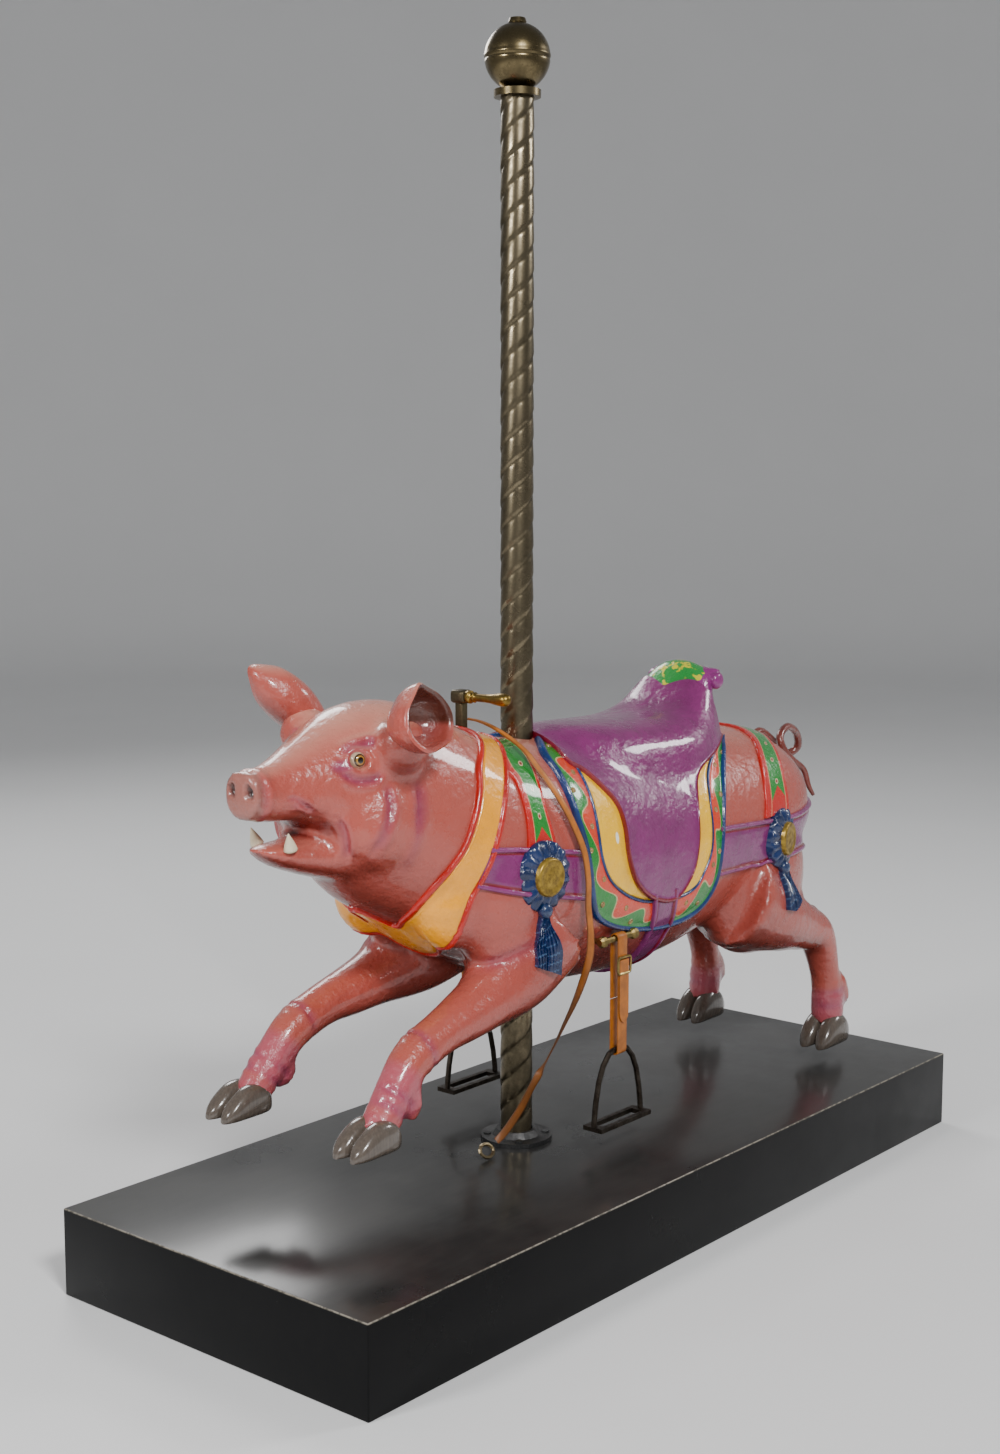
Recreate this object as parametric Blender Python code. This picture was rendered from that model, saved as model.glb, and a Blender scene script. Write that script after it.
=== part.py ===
"""Carousel pig on its twisted pole and display stand.

Metres, +Z up. The origin is the middle of the stand's underside. The pig faces -X, so its left side
faces -Y. Everything that the pole carries is placed from the pole's axis and the stand's top.
"""

import math

import bmesh
import bpy
from mathutils import Vector

# Stand and pole
STAND_LENGTH = 1.524
STAND_WIDTH = 0.610
STAND_HEIGHT = 0.131
STAND_EDGE = 0.002
POLE_X = -0.103
POLE_RADIUS = 0.026
BALL_RADIUS = 0.050
BALL_HEIGHT = 1.8045
BALL_CAP_RADIUS = 0.012
COLLAR_RADIUS = 0.036
COLLAR_THICKNESS = 0.012
FLANGE_RADIUS = 0.057
FLANGE_THICKNESS = 0.007
FLANGE_BOSS_RADIUS = 0.036
FLANGE_BOSS_HEIGHT = 0.017
FLANGE_SCREWS = 4
SCREW_RADIUS = 0.006
SCREW_HEAD = 0.003
# Clearances
GAP = 0.0003
BORE_GAP = 0.0008
# Angle between faces, in degrees, above which an edge stays sharp
SHARP_ANGLE = 40.0

# The pig. Its carving is given in units of a 137th of its length, a centimetre at this size.
PIG_LENGTH = 1.37
UNIT = PIG_LENGTH / 137.0
PIG_TRIANGLES = 5000

# Slices of the body from snout to rump: place along the body, top, bottom, half width, height of
# the widest line.
BODY_SLICES = (
    (-58.2, 66.0, 59.0, 3.3, 62.5),
    (-56.4, 65.9, 58.8, 3.4, 62.3),
    (-53.5, 66.2, 58.2, 3.9, 62.0),
    (-50.5, 67.3, 58.2, 4.9, 61.8),
    (-47.5, 68.8, 57.0, 6.2, 61.5),
    (-44.5, 70.4, 52.0, 7.5, 61.0),
    (-41.5, 71.9, 47.5, 8.8, 60.0),
    (-38.0, 73.0, 44.5, 9.9, 59.0),
    (-34.0, 73.4, 42.2, 10.9, 56.5),
    (-29.5, 73.0, 39.6, 11.9, 53.5),
    (-24.5, 71.6, 36.2, 12.8, 51.0),
    (-19.5, 69.4, 33.6, 13.8, 49.5),
    (-14.5, 67.2, 31.6, 14.6, 48.0),
    (-9.5, 65.8, 29.4, 15.2, 47.5),
    (0.3, 64.6, 25.9, 15.8, 46.0),
    (10.3, 63.5, 24.7, 16.0, 45.0),
    (20.3, 62.5, 24.4, 16.0, 45.0),
    (30.3, 62.0, 24.9, 15.9, 45.0),
    (40.3, 62.0, 27.0, 15.7, 45.0),
    (50.3, 61.8, 29.5, 15.4, 46.0),
    (60.3, 60.6, 33.0, 14.4, 47.0),
    (66.3, 58.2, 36.5, 12.6, 47.0),
    (70.2, 55.2, 38.5, 10.2, 47.0),
    (73.8, 51.0, 41.0, 6.8, 46.5),
    (76.0, 47.5, 44.5, 2.5, 46.0),
)
JAW_SLICES = (
    (-55.9, 55.2, 54.6, 1.2, 54.9),
    (-55.0, 55.3, 53.6, 2.4, 54.5),
    (-52.7, 55.3, 52.1, 3.4, 53.8),
    (-50.0, 55.4, 51.0, 4.2, 53.4),
    (-47.0, 55.6, 50.0, 5.2, 53.0),
    (-43.0, 56.5, 48.8, 6.4, 52.5),
    (-38.0, 57.0, 47.5, 7.8, 52.0),
)
# Limbs: place along the body, out from the middle, height, radius
FORELEG = (
    (-8.0, 8.5, 36.0, 9.5),
    (-13.5, 9.8, 31.5, 7.0),
    (-20.8, 11.0, 28.8, 4.7),
    (-26.3, 11.5, 27.4, 3.9),
    (-31.3, 11.9, 26.3, 3.3),
    (-37.2, 12.0, 24.1, 3.2),
    (-40.7, 12.2, 21.1, 2.9),
    (-43.6, 12.5, 17.8, 2.8),
    (-45.8, 12.7, 14.8, 2.9),
)
HIND_LEG = (
    (46.0, 10.0, 33.0, 9.0),
    (55.0, 12.0, 28.5, 6.5),
    (63.0, 12.6, 25.5, 4.6),
    (69.3, 13.0, 22.9, 3.6),
    (72.6, 13.2, 15.0, 2.8),
    (73.2, 13.5, 8.5, 3.1),
    (73.0, 13.6, 5.5, 3.0),
)
# Swellings of muscle and bone: centre and radii
SWELLINGS = (
    ((-14.5, 9.5, 43.0), (10.0, 6.0, 12.0)),
    ((53.0, 9.3, 35.6), (14.5, 6.6, 13.8)),
    ((-37.0, 6.0, 57.0), (8.0, 5.0, 7.5)),
    ((-36.3, 9.6, 68.0), (4.2, 3.6, 4.0)),
    ((-25.0, 8.0, 42.5), (8.5, 4.6, 8.5)),
    ((-47.4, 11.3, 15.3), (4.6, 1.7, 2.2)),
    ((-47.4, 14.4, 15.3), (4.6, 1.7, 2.2)),
    ((72.0, 12.1, 4.8), (4.7, 1.8, 2.9)),
    ((72.0, 15.3, 4.8), (4.7, 1.8, 2.9)),
)
DEWCLAWS = (
    ((-39.2, 11.4, 20.6, 1.2), (-38.9, 11.2, 17.8, 1.1), (-40.0, 11.2, 15.2, 0.6)),
    ((-39.0, 13.8, 20.6, 1.2), (-38.6, 14.0, 17.8, 1.1), (-39.6, 14.0, 15.2, 0.6)),
    ((74.8, 12.2, 14.5, 1.2), (76.6, 12.0, 11.5, 1.1), (77.6, 12.0, 8.2, 0.6)),
    ((74.8, 14.8, 14.5, 1.2), (76.6, 15.0, 11.5, 1.1), (77.6, 15.0, 8.2, 0.6)),
)
TAIL = (
    (67.0, 0.4, 52.5, 1.0),
    (70.0, 1.4, 56.6, 0.9),
    (73.2, 2.0, 58.2, 0.85),
    (77.0, 1.4, 56.0, 0.8),
    (80.6, 0.8, 53.5, 0.75),
    (82.6, -0.4, 54.6, 0.75),
    (81.2, -0.9, 57.4, 0.75),
    (77.2, -1.5, 59.0, 0.75),
    (73.6, -2.2, 57.8, 0.7),
    (73.4, -2.9, 55.6, 0.7),
    (75.6, -3.5, 53.3, 0.65),
    (79.0, -4.0, 51.0, 0.6),
    (79.9, -4.6, 48.0, 0.5),
    (81.0, -5.0, 46.1, 0.35),
)
# Ears: middle of the rim, way to the tip, way the hollow faces, half length, half width, depth
EAR_LEFT = ((-37.6, -15.2, 72.3), (-0.15, -0.15, 1.0), (0.15, -0.96, 0.22), 4.7, 5.4, 5.6)
EAR_RIGHT = ((-36.4, 12.2, 73.6), (-0.40, 0.50, 0.80), (0.30, 0.90, -0.10), 7.4, 4.3, 4.0)
EAR_WALL = 0.9
EYE = (-42.3, 6.3, 66.2)
EYE_RADIUS = 1.35

# Half the reach of the cutting solids across the pig
PRISM_REACH = 26.0
# Carved harness. Each outline is given from the side, as place along the body and height, and is
# raised from the skin by its own height.
COLLAR = (
    (-12.5, 74.0), (-14.5, 68.3), (-17.6, 66.3), (-21.7, 63.6), (-23.3, 60.3), (-24.9, 56.9),
    (-27.1, 52.9), (-29.3, 50.1), (-31.2, 47.5), (-32.3, 44.5), (-31.8, 41.5), (-30.0, 39.2),
    (-29.5, 34.0), (-21.0, 29.0), (-24.6, 36.9), (-25.8, 40.7), (-24.9, 43.8), (-22.9, 47.3),
    (-21.1, 50.7), (-19.6, 54.2), (-17.7, 58.2), (-14.8, 62.1), (-11.5, 64.8), (-9.5, 66.6),
    (-8.8, 74.0),
)
BLANKET = (
    (2.0, 72.0), (0.9, 64.3), (-3.8, 62.9), (-4.1, 60.2), (-4.2, 57.4), (-3.9, 53.7), (-3.1, 49.8),
    (-2.4, 45.9), (-1.5, 41.9), (0.3, 38.4), (3.7, 36.3), (8.8, 34.6), (16.3, 33.2), (22.3, 32.8),
    (27.6, 33.3), (30.9, 34.9), (32.8, 37.9), (33.4, 41.3), (33.9, 45.5), (35.1, 50.2),
    (38.1, 54.7), (42.1, 58.2), (47.4, 60.8), (49.0, 72.0),
)
FLAP = (
    (3.0, 72.0), (1.0, 64.0), (-0.2, 61.6), (2.1, 59.8), (4.6, 57.0), (6.3, 54.6), (6.8, 51.5),
    (6.9, 47.7), (7.9, 44.4), (9.7, 41.7), (13.2, 39.2), (17.7, 37.7), (21.1, 37.7), (23.3, 39.5),
    (25.0, 42.1), (25.9, 45.7), (26.8, 50.5), (28.6, 54.2), (31.8, 57.0), (36.4, 58.8),
    (44.0, 60.7), (46.0, 72.0),
)
BREAST_STRAP = ((-22.5, 51.8), (-20.0, 51.8), (-3.8, 49.2), (-2.2, 41.2), (-22.0, 45.3), (-25.0, 46.4))
REAR_STRAP = ((33.0, 47.7), (47.6, 47.0), (58.0, 46.6), (80.0, 47.6), (80.0, 39.4), (58.9, 39.4), (47.7, 39.0), (33.0, 39.3))
GIRTH = ((14.4, 39.0), (16.4, 32.0), (18.0, 22.0), (23.4, 22.0), (22.4, 32.0), (20.9, 39.0))
FRONT_RIBBON = (
    (-15.9, 62.4), (-14.6, 60.4), (-14.9, 57.9), (-15.0, 51.0), (-9.0, 50.0), (-9.6, 55.0),
    (-9.3, 59.4), (-7.6, 62.4), (-6.4, 64.8), (-10.0, 66.5),
)
REAR_RIBBON = (
    (57.0, 66.0), (53.0, 59.0), (50.6, 56.4), (48.8, 52.5), (47.9, 49.4), (47.4, 47.0), (55.6, 47.0),
    (56.0, 52.0), (57.2, 55.0), (59.0, 57.4), (62.0, 64.0),
)
FRONT_TASSEL = (
    (-14.2, 41.8), (-14.4, 40.2), (-15.3, 38.4), (-15.9, 36.1), (-16.0, 31.8), (-11.4, 33.8),
    (-11.6, 37.0), (-12.2, 39.6), (-11.6, 41.8),
)
REAR_TASSEL = (
    (51.2, 38.4), (51.0, 36.4), (49.8, 34.4), (49.4, 32.4), (51.2, 28.6), (56.2, 30.6), (55.8, 34.2),
    (53.6, 36.4), (53.6, 38.4),
)
RAISED = (
    ("harness", 0.5, (COLLAR, BREAST_STRAP, REAR_STRAP)),
    ("ribbons", 0.35, (FRONT_RIBBON, REAR_RIBBON, GIRTH)),
    ("blanket", 0.45, (BLANKET,)),
    ("flap", 1.0, (FLAP,)),
    ("tassels", 1.3, (FRONT_TASSEL, REAR_TASSEL)),
)
# Rosettes: centre, turn to the rear in degrees
ROSETTES = (((-12.3, 14.3, 46.5), -4.0), ((53.2, 14.2, 43.0), 12.0))
ROSETTE_RADIUS = 5.3
ROSETTE_PLEATS = 12
ROSETTE_RAISE = 1.5
ROSETTE_DISC_RADIUS = 2.95
ROSETTE_DISC_RAISE = 2.1
ROSETTE_SINK = 2.5
# Saddle: place along the body, top, half width at the top of the sides, height of the sides
SADDLE_SLICES = (
    (2.9, 65.4, 4.5, 60.5),
    (6.0, 66.0, 7.5, 60.0),
    (12.0, 66.0, 10.5, 59.5),
    (20.0, 65.7, 11.8, 59.0),
    (28.0, 65.6, 12.2, 59.0),
    (33.0, 66.0, 12.0, 59.0),
    (37.0, 67.4, 11.2, 59.0),
    (40.0, 70.0, 10.0, 59.0),
    (41.9, 72.6, 8.8, 59.5),
    (43.4, 73.8, 7.9, 60.0),
    (45.0, 73.9, 7.2, 60.0),
    (46.2, 73.2, 6.6, 60.5),
)
# How far the saddle's solid goes down into the body
SADDLE_FOOT = 6.0
SCROLL = (46.4, 71.2)
SCROLL_RADIUS = 1.5
SCROLL_HALF_WIDTH = 7.0

# Grip on the neck, from the pole's axis and the stand's top, in metres
GRIP_POST_X = -0.131
GRIP_POST_LENGTH = 0.030
GRIP_POST_WIDTH = 0.014
GRIP_POST_FOOT = 0.655
GRIP_POST_TOP = 0.716
GRIP_BLOCK = (0.026, 0.026, 0.020)
GRIP_BAR_HEIGHT = 0.7215
# Handle turned on its own axis: distance from the post, radius
GRIP_PROFILE = (
    (0.0133, 0.0105), (0.017, 0.0105), (0.019, 0.0085), (0.030, 0.0065), (0.050, 0.0070),
    (0.070, 0.0095), (0.083, 0.0105), (0.091, 0.0080), (0.095, 0.0035),
)

# Stirrups, from the pole's axis and the stand's top, in metres
BAR_Y = 0.152
BAR_HEIGHT = 0.338
BAR_REAR = 0.112
BAR_FRONT = 0.016
BAR_RADIUS = 0.005
BAR_KNOB_RADIUS = 0.009
BAR_STEM_RADIUS = 0.0045
BAR_STEM_LENGTH = 0.050
BAR_STEM_INSET = 0.008
BAR_SOCKET_LENGTH = 0.052
LEATHER_X = 0.066
LEATHER_WIDTH = 0.024
LEATHER_THICKNESS = 0.003
LEATHER_SPREAD = 0.007
BUCKLE_HEIGHT = 0.296
BUCKLE_WIDTH = 0.032
BUCKLE_LENGTH = 0.026
BUCKLE_WIRE = 0.0022
IRON_EYE_HEIGHT = 0.160
IRON_BAR_RADIUS = 0.0045
IRON_FOOT_HEIGHT = 0.048
IRON_HALF_WIDTH = 0.061
IRON_TREAD_DEPTH = 0.036
IRON_TREAD_THICKNESS = 0.006
# Shape of one side of the iron: out from its middle and height, as shares of its half width and
# of the height from the tread to the eye
IRON_SIDE = ((0.22, 1.0), (0.38, 0.97), (0.62, 0.83), (0.80, 0.62), (0.92, 0.35), (0.98, 0.12), (1.0, 0.0))

# Rein: the points of its route by hand, from the pole's axis and the stand's top, in metres
REIN_ROUTE = (
    (-0.1165, 0.000, 0.6860),
    (-0.108, -0.014, 0.6830),
    (-0.101, -0.036, 0.6750),
    (-0.096, -0.064, 0.6610),
    (-0.096, -0.096, 0.643),
    (-0.093, -0.115, 0.622),
    (-0.086, -0.134, 0.597),
    (-0.076, -0.149, 0.570),
    (-0.063, -0.161, 0.537),
    (-0.047, -0.170, 0.493),
    (-0.040, -0.173, 0.448),
    (-0.033, -0.168, 0.406),
    (-0.027, -0.168, 0.362),
    (-0.027, -0.165, 0.322),
    (-0.030, -0.146, 0.265),
    (-0.034, -0.122, 0.213),
    (-0.042, -0.098, 0.160),
    (-0.056, -0.080, 0.117),
    (-0.068, -0.064, 0.077),
    (-0.084, -0.048, 0.043),
    (-0.094, -0.038, 0.027),
)
REIN_RADIUS = 0.006
REIN_POINTS = 46
SNAP_RADIUS = 0.011
SNAP_WIRE = 0.003
SNAP_MIDDLE = (-0.106, -0.028, 0.0125)


def remove_scene_objects():
    for item in list(bpy.data.objects):
        bpy.data.objects.remove(item)


def pig_point(along, out, high):
    """A point of the pig's carving, in metres in the part's frame."""
    return Vector((POLE_X + along * UNIT, out * UNIT, STAND_HEIGHT + high * UNIT))


def smooth_between(table, place):
    """The row of a table at this value of its first column, on a smooth curve through the rows."""
    last = len(table) - 1
    place = min(max(place, table[0][0]), table[last][0])
    low = max(i for i in range(last) if table[i][0] <= place)
    rows = [table[max(0, min(last, low + step))] for step in (-1, 0, 1, 2)]
    (x0, x1, x2, x3) = (row[0] for row in rows)
    share = (place - x1) / (x2 - x1)
    found = [place]
    for column in range(1, len(table[0])):
        (v0, v1, v2, v3) = (row[column] for row in rows)
        slope_1 = (v2 - v0) / (x2 - x0) * (x2 - x1)
        slope_2 = (v3 - v1) / (x3 - x1) * (x2 - x1)
        s, t = share, share * share
        found.append(
            (2 * s * t - 3 * t + 1) * v1
            + (s * t - 2 * t + s) * slope_1
            + (3 * t - 2 * s * t) * v2
            + (s * t - t) * slope_2
        )
    return found


def slice_ring(row, count, squareness=2.15):
    """One closed ring of the body, upright, across the pig."""
    along, top, bottom, half, middle = row
    ring = []
    for step in range(count):
        angle = 2 * math.pi * step / count
        c, s = math.cos(angle), math.sin(angle)
        out = half * math.copysign(abs(c) ** (2 / squareness), c)
        reach = (top - middle) if s > 0 else (middle - bottom)
        high = middle + reach * math.copysign(abs(s) ** (2 / squareness), s)
        ring.append(pig_point(along, out, high))
    return ring


def mesh_of_rings(mesh, rings):
    """Adds a closed skin over rings that have the same number of points."""
    loops = [[mesh.verts.new(point) for point in ring] for ring in rings]
    count = len(loops[0])
    for one, two in zip(loops, loops[1:]):
        for i in range(count):
            j = (i + 1) % count
            mesh.faces.new((one[i], one[j], two[j], two[i]))
    mesh.faces.new(list(reversed(loops[0])))
    mesh.faces.new(loops[-1])


def add_slices(mesh, table, steps, count):
    first, last = table[0][0], table[-1][0]
    places = [first + (last - first) * i / steps for i in range(steps + 1)]
    mesh_of_rings(mesh, [slice_ring(smooth_between(table, p), count) for p in places])


def add_limb(mesh, table, side, steps, count):
    """A limb as round rings square to a smooth line through its rows."""
    rows = [(i, *row) for i, row in enumerate(table)]
    path = []
    for i in range(steps + 1):
        _, along, out, high, radius = smooth_between(rows, (len(rows) - 1) * i / steps)
        path.append((pig_point(along, side * out, high), radius * UNIT))
    rings = []
    for i, (centre, radius) in enumerate(path):
        ahead = path[min(i + 1, steps)][0] - path[max(i - 1, 0)][0]
        across = Vector((0, 1, 0))
        up = ahead.cross(across).normalized()
        across = up.cross(ahead).normalized()
        rings.append(
            [
                centre
                + radius * math.cos(2 * math.pi * k / count) * across
                + radius * math.sin(2 * math.pi * k / count) * up
                for k in range(count)
            ]
        )
    mesh_of_rings(mesh, rings)


def add_swelling(mesh, form, side, count=16):
    (along, out, high), (rx, ry, rz) = form
    made = bmesh.ops.create_uvsphere(mesh, u_segments=count, v_segments=count // 2, radius=1)
    centre = pig_point(along, side * out, high)
    for vert in made["verts"]:
        vert.co = centre + Vector((vert.co.x * rx, vert.co.y * ry, vert.co.z * rz)) * UNIT


def object_from(mesh, name):
    bmesh.ops.recalc_face_normals(mesh, faces=mesh.faces)
    data = bpy.data.meshes.new(name)
    mesh.to_mesh(data)
    mesh.free()
    made = bpy.data.objects.new(name, data)
    bpy.context.scene.collection.objects.link(made)
    return made


def apply_modifiers(item):
    """Leaves the object with the mesh that its modifiers make."""
    depsgraph = bpy.context.evaluated_depsgraph_get()
    data = bpy.data.meshes.new_from_object(item.evaluated_get(depsgraph))
    item.modifiers.clear()
    item.data = data


def combine(item, other, operation):
    """Joins, cuts or keeps the common part of two solids, and takes the second one away."""
    step = item.modifiers.new(operation.lower(), "BOOLEAN")
    step.operation = operation
    step.solver = "EXACT"
    step.object = other
    apply_modifiers(item)
    bpy.data.objects.remove(other)


def make_base():
    """The pig's bare body as one skin."""
    mesh = bmesh.new()
    add_slices(mesh, BODY_SLICES, steps=70, count=32)
    add_slices(mesh, JAW_SLICES, steps=12, count=20)
    for side in (-1, 1):
        add_limb(mesh, FORELEG, side, steps=24, count=16)
        add_limb(mesh, HIND_LEG, side, steps=24, count=16)
        for form in SWELLINGS:
            add_swelling(mesh, form, side)
        for claw in DEWCLAWS:
            add_limb(mesh, claw, side, steps=6, count=8)
    base = object_from(mesh, "pig")
    skin = base.modifiers.new("one skin", "REMESH")
    skin.mode = "VOXEL"
    skin.voxel_size = 0.8 * UNIT
    soften = base.modifiers.new("soften", "SMOOTH")
    soften.factor = 0.5
    soften.iterations = 5
    thin = base.modifiers.new("fewer faces", "DECIMATE")
    thin.ratio = 0.05
    apply_modifiers(base)
    return base


def swollen(base, height, name):
    """A copy of the bare body, larger by this height all over."""
    mesh = bmesh.new()
    mesh.from_mesh(base.data)
    mesh.normal_update()
    for vert in mesh.verts:
        vert.co += vert.normal * (height * UNIT)
    return object_from(mesh, name)


def side_prism(mesh, outline):
    """An outline seen from the side, as a solid right across the pig."""
    near = [mesh.verts.new(pig_point(a, -PRISM_REACH, h)) for a, h in outline]
    far = [mesh.verts.new(pig_point(a, PRISM_REACH, h)) for a, h in outline]
    count = len(outline)
    mesh.faces.new(near)
    mesh.faces.new(list(reversed(far)))
    for i in range(count):
        j = (i + 1) % count
        mesh.faces.new((near[i], far[i], far[j], near[j]))


def add_raised(pig, base):
    for name, height, outlines in RAISED:
        for outline in outlines:
            mesh = bmesh.new()
            side_prism(mesh, outline)
            prism = object_from(mesh, name)
            combine(prism, swollen(base, height, "swollen"), "INTERSECT")
            combine(pig, prism, "UNION")


def add_ear(pig, form):
    """A hollow ear: a bowl with a wall, egg shaped towards its tip."""
    middle, tip, face, length, width, depth = form
    centre = pig_point(*middle)
    face = Vector(face).normalized()
    tip = (Vector(tip) - face * Vector(tip).dot(face)).normalized()
    across = face.cross(tip)
    rows = [(0.12, -1.0), (0.5, -0.87), (0.80, -0.6), (0.95, -0.3), (1.0, 0.0)]
    wall = EAR_WALL / width
    rows += [(1.0 - wall, 0.02), (0.93 - wall, -0.2), (0.75 - wall, -0.48), (0.10, -0.74)]
    mesh = bmesh.new()
    rings = []
    for share, sink in rows:
        ring = []
        for k in range(14):
            angle = 2 * math.pi * k / 14
            along = length * share * math.cos(angle)
            aside = width * share * math.sin(angle) * (1.0 - 0.22 * math.cos(angle))
            ring.append(centre + (tip * along + across * aside + face * (sink * depth)) * UNIT)
        rings.append(ring)
    mesh_of_rings(mesh, rings)
    combine(pig, object_from(mesh, "ear"), "UNION")


def add_rosettes(pig):
    for (along, out, high), turn in ROSETTES:
        for side in (-1, 1):
            axis = Vector((math.sin(math.radians(turn)), side * math.cos(math.radians(turn)), 0))
            across = Vector((0, 0, 1)).cross(axis)
            centre = pig_point(along, side * out, high)
            parts = ((ROSETTE_RADIUS, ROSETTE_RAISE, 1), (ROSETTE_DISC_RADIUS, ROSETTE_DISC_RAISE, 0))
            for radius, raised, pleated in parts:
                mesh = bmesh.new()
                rings = []
                for level in (-ROSETTE_SINK, raised):
                    ring = []
                    for k in range(2 * ROSETTE_PLEATS):
                        angle = math.pi * k / ROSETTE_PLEATS
                        reach = radius * (1.0 - 0.06 * pleated * (k % 2))
                        spot = across * math.cos(angle) + Vector((0, 0, 1)) * math.sin(angle)
                        ring.append(centre + (spot * reach + axis * level) * UNIT)
                    rings.append(ring)
                mesh_of_rings(mesh, rings)
                combine(pig, object_from(mesh, "rosette"), "UNION")


def add_saddle(pig):
    mesh = bmesh.new()
    first, last = SADDLE_SLICES[0][0], SADDLE_SLICES[-1][0]
    rings = []
    for i in range(17):
        along, top, half, shoulder = smooth_between(SADDLE_SLICES, first + (last - first) * i / 16)
        ring = []
        for k in range(13):
            angle = math.pi * k / 12
            c, s = math.cos(angle), math.sin(angle)
            out = half * math.copysign(abs(c) ** 0.8, c)
            ring.append(pig_point(along, out, shoulder + (top - shoulder) * s ** 0.8))
        for out in (-0.6, -0.2, 0.2, 0.6):
            ring.append(pig_point(along, out * half, shoulder - SADDLE_FOOT))
        rings.append(ring)
    mesh_of_rings(mesh, rings)
    combine(pig, object_from(mesh, "saddle"), "UNION")
    mesh = bmesh.new()
    rings = []
    for out in (-SCROLL_HALF_WIDTH, SCROLL_HALF_WIDTH):
        rings.append(
            [
                pig_point(
                    SCROLL[0] + SCROLL_RADIUS * math.cos(2 * math.pi * k / 14),
                    out,
                    SCROLL[1] + SCROLL_RADIUS * math.sin(2 * math.pi * k / 14),
                )
                for k in range(14)
            ]
        )
    mesh_of_rings(mesh, rings)
    combine(pig, object_from(mesh, "scroll"), "UNION")


def add_tail(pig):
    mesh = bmesh.new()
    add_limb(mesh, TAIL, 1, steps=36, count=7)
    combine(pig, object_from(mesh, "tail"), "UNION")


def ball(name, centre, radius, across, high):
    mesh = bmesh.new()
    bmesh.ops.create_uvsphere(mesh, u_segments=across, v_segments=high, radius=radius)
    bmesh.ops.translate(mesh, verts=mesh.verts, vec=centre)
    return object_from(mesh, name)


def box(name, low, high):
    mesh = bmesh.new()
    bmesh.ops.create_cube(mesh, size=1.0)
    for vert in mesh.verts:
        for axis in range(3):
            vert.co[axis] = high[axis] if vert.co[axis] > 0 else low[axis]
    return object_from(mesh, name)


def turned(name, profile, base, axis, count):
    """A solid turned about an axis, from rows of distance along it and radius."""
    axis = Vector(axis).normalized()
    aside = axis.orthogonal().normalized()
    other = axis.cross(aside)
    mesh = bmesh.new()
    rings = []
    for distance, radius in profile:
        rings.append(
            [
                Vector(base)
                + axis * distance
                + (aside * math.cos(2 * math.pi * k / count) + other * math.sin(2 * math.pi * k / count))
                * radius
                for k in range(count)
            ]
        )
    mesh_of_rings(mesh, rings)
    return object_from(mesh, name)


def tube(name, points, radius, count, closed=False):
    """A round bar along points that lie in one plane or nearly so."""
    points = [Vector(point) for point in points]
    last = len(points) - 1
    mesh = bmesh.new()
    rings = []
    side = None
    for i, point in enumerate(points):
        if closed:
            ahead = points[(i + 1) % (last + 1)] - points[i - 1]
        else:
            ahead = points[min(i + 1, last)] - points[max(i - 1, 0)]
        ahead.normalize()
        if side is None:
            side = ahead.orthogonal().normalized()
        side = (side - ahead * side.dot(ahead)).normalized()
        up = ahead.cross(side)
        ring = []
        for k in range(count):
            angle = 2 * math.pi * k / count
            ring.append(point + (side * math.cos(angle) + up * math.sin(angle)) * radius)
        rings.append(ring)
    if not closed:
        mesh_of_rings(mesh, rings)
        return object_from(mesh, name)
    loops = [[mesh.verts.new(point) for point in ring] for ring in rings]
    for i in range(len(loops)):
        one, two = loops[i], loops[(i + 1) % len(loops)]
        for k in range(count):
            j = (k + 1) % count
            mesh.faces.new((one[k], one[j], two[j], two[k]))
    return object_from(mesh, name)


def from_pole(x, y, z):
    return Vector((POLE_X + x, y, STAND_HEIGHT + z))


def make_pig():
    base = make_base()
    pig = object_from_copy(base, "pig_whole")
    add_raised(pig, base)
    add_saddle(pig)
    add_rosettes(pig)
    add_ear(pig, EAR_LEFT)
    add_ear(pig, EAR_RIGHT)
    add_tail(pig)
    thin_out(pig, PIG_TRIANGLES)
    bore_radius = POLE_RADIUS + BORE_GAP
    bore = turned("bore", ((0.0, bore_radius), (PIG_LENGTH, bore_radius)), from_pole(0, 0, 0), (0, 0, 1), 24)
    combine(pig, bore, "DIFFERENCE")
    for side in (-1, 1):
        centre = pig_point(EYE[0], side * EYE[1], EYE[2])
        socket = ball("socket", centre, EYE_RADIUS * UNIT + GAP, 14, 8)
        combine(pig, socket, "DIFFERENCE")
    bpy.data.objects.remove(base)
    pig.name = "pig"
    return pig


def thin_out(item, most):
    """Takes away the faces that the shape doesn't need, down to this many triangles."""
    count = sum(len(face.vertices) - 2 for face in item.data.polygons)
    thin = item.modifiers.new("fewer faces", "DECIMATE")
    thin.ratio = most / count
    apply_modifiers(item)


def object_from_copy(item, name):
    mesh = bmesh.new()
    mesh.from_mesh(item.data)
    return object_from(mesh, name)


def make_eyes():
    for name, side in (("eye_left", -1), ("eye_right", 1)):
        ball(name, pig_point(EYE[0], side * EYE[1], EYE[2]), EYE_RADIUS * UNIT, 14, 8)


def make_stand():
    half = Vector((STAND_LENGTH / 2, STAND_WIDTH / 2, 0))
    stand = box("stand", (-half.x, -half.y, 0), (half.x, half.y, STAND_HEIGHT))
    edge = stand.modifiers.new("edge", "BEVEL")
    edge.width = STAND_EDGE
    edge.segments = 1


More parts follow.
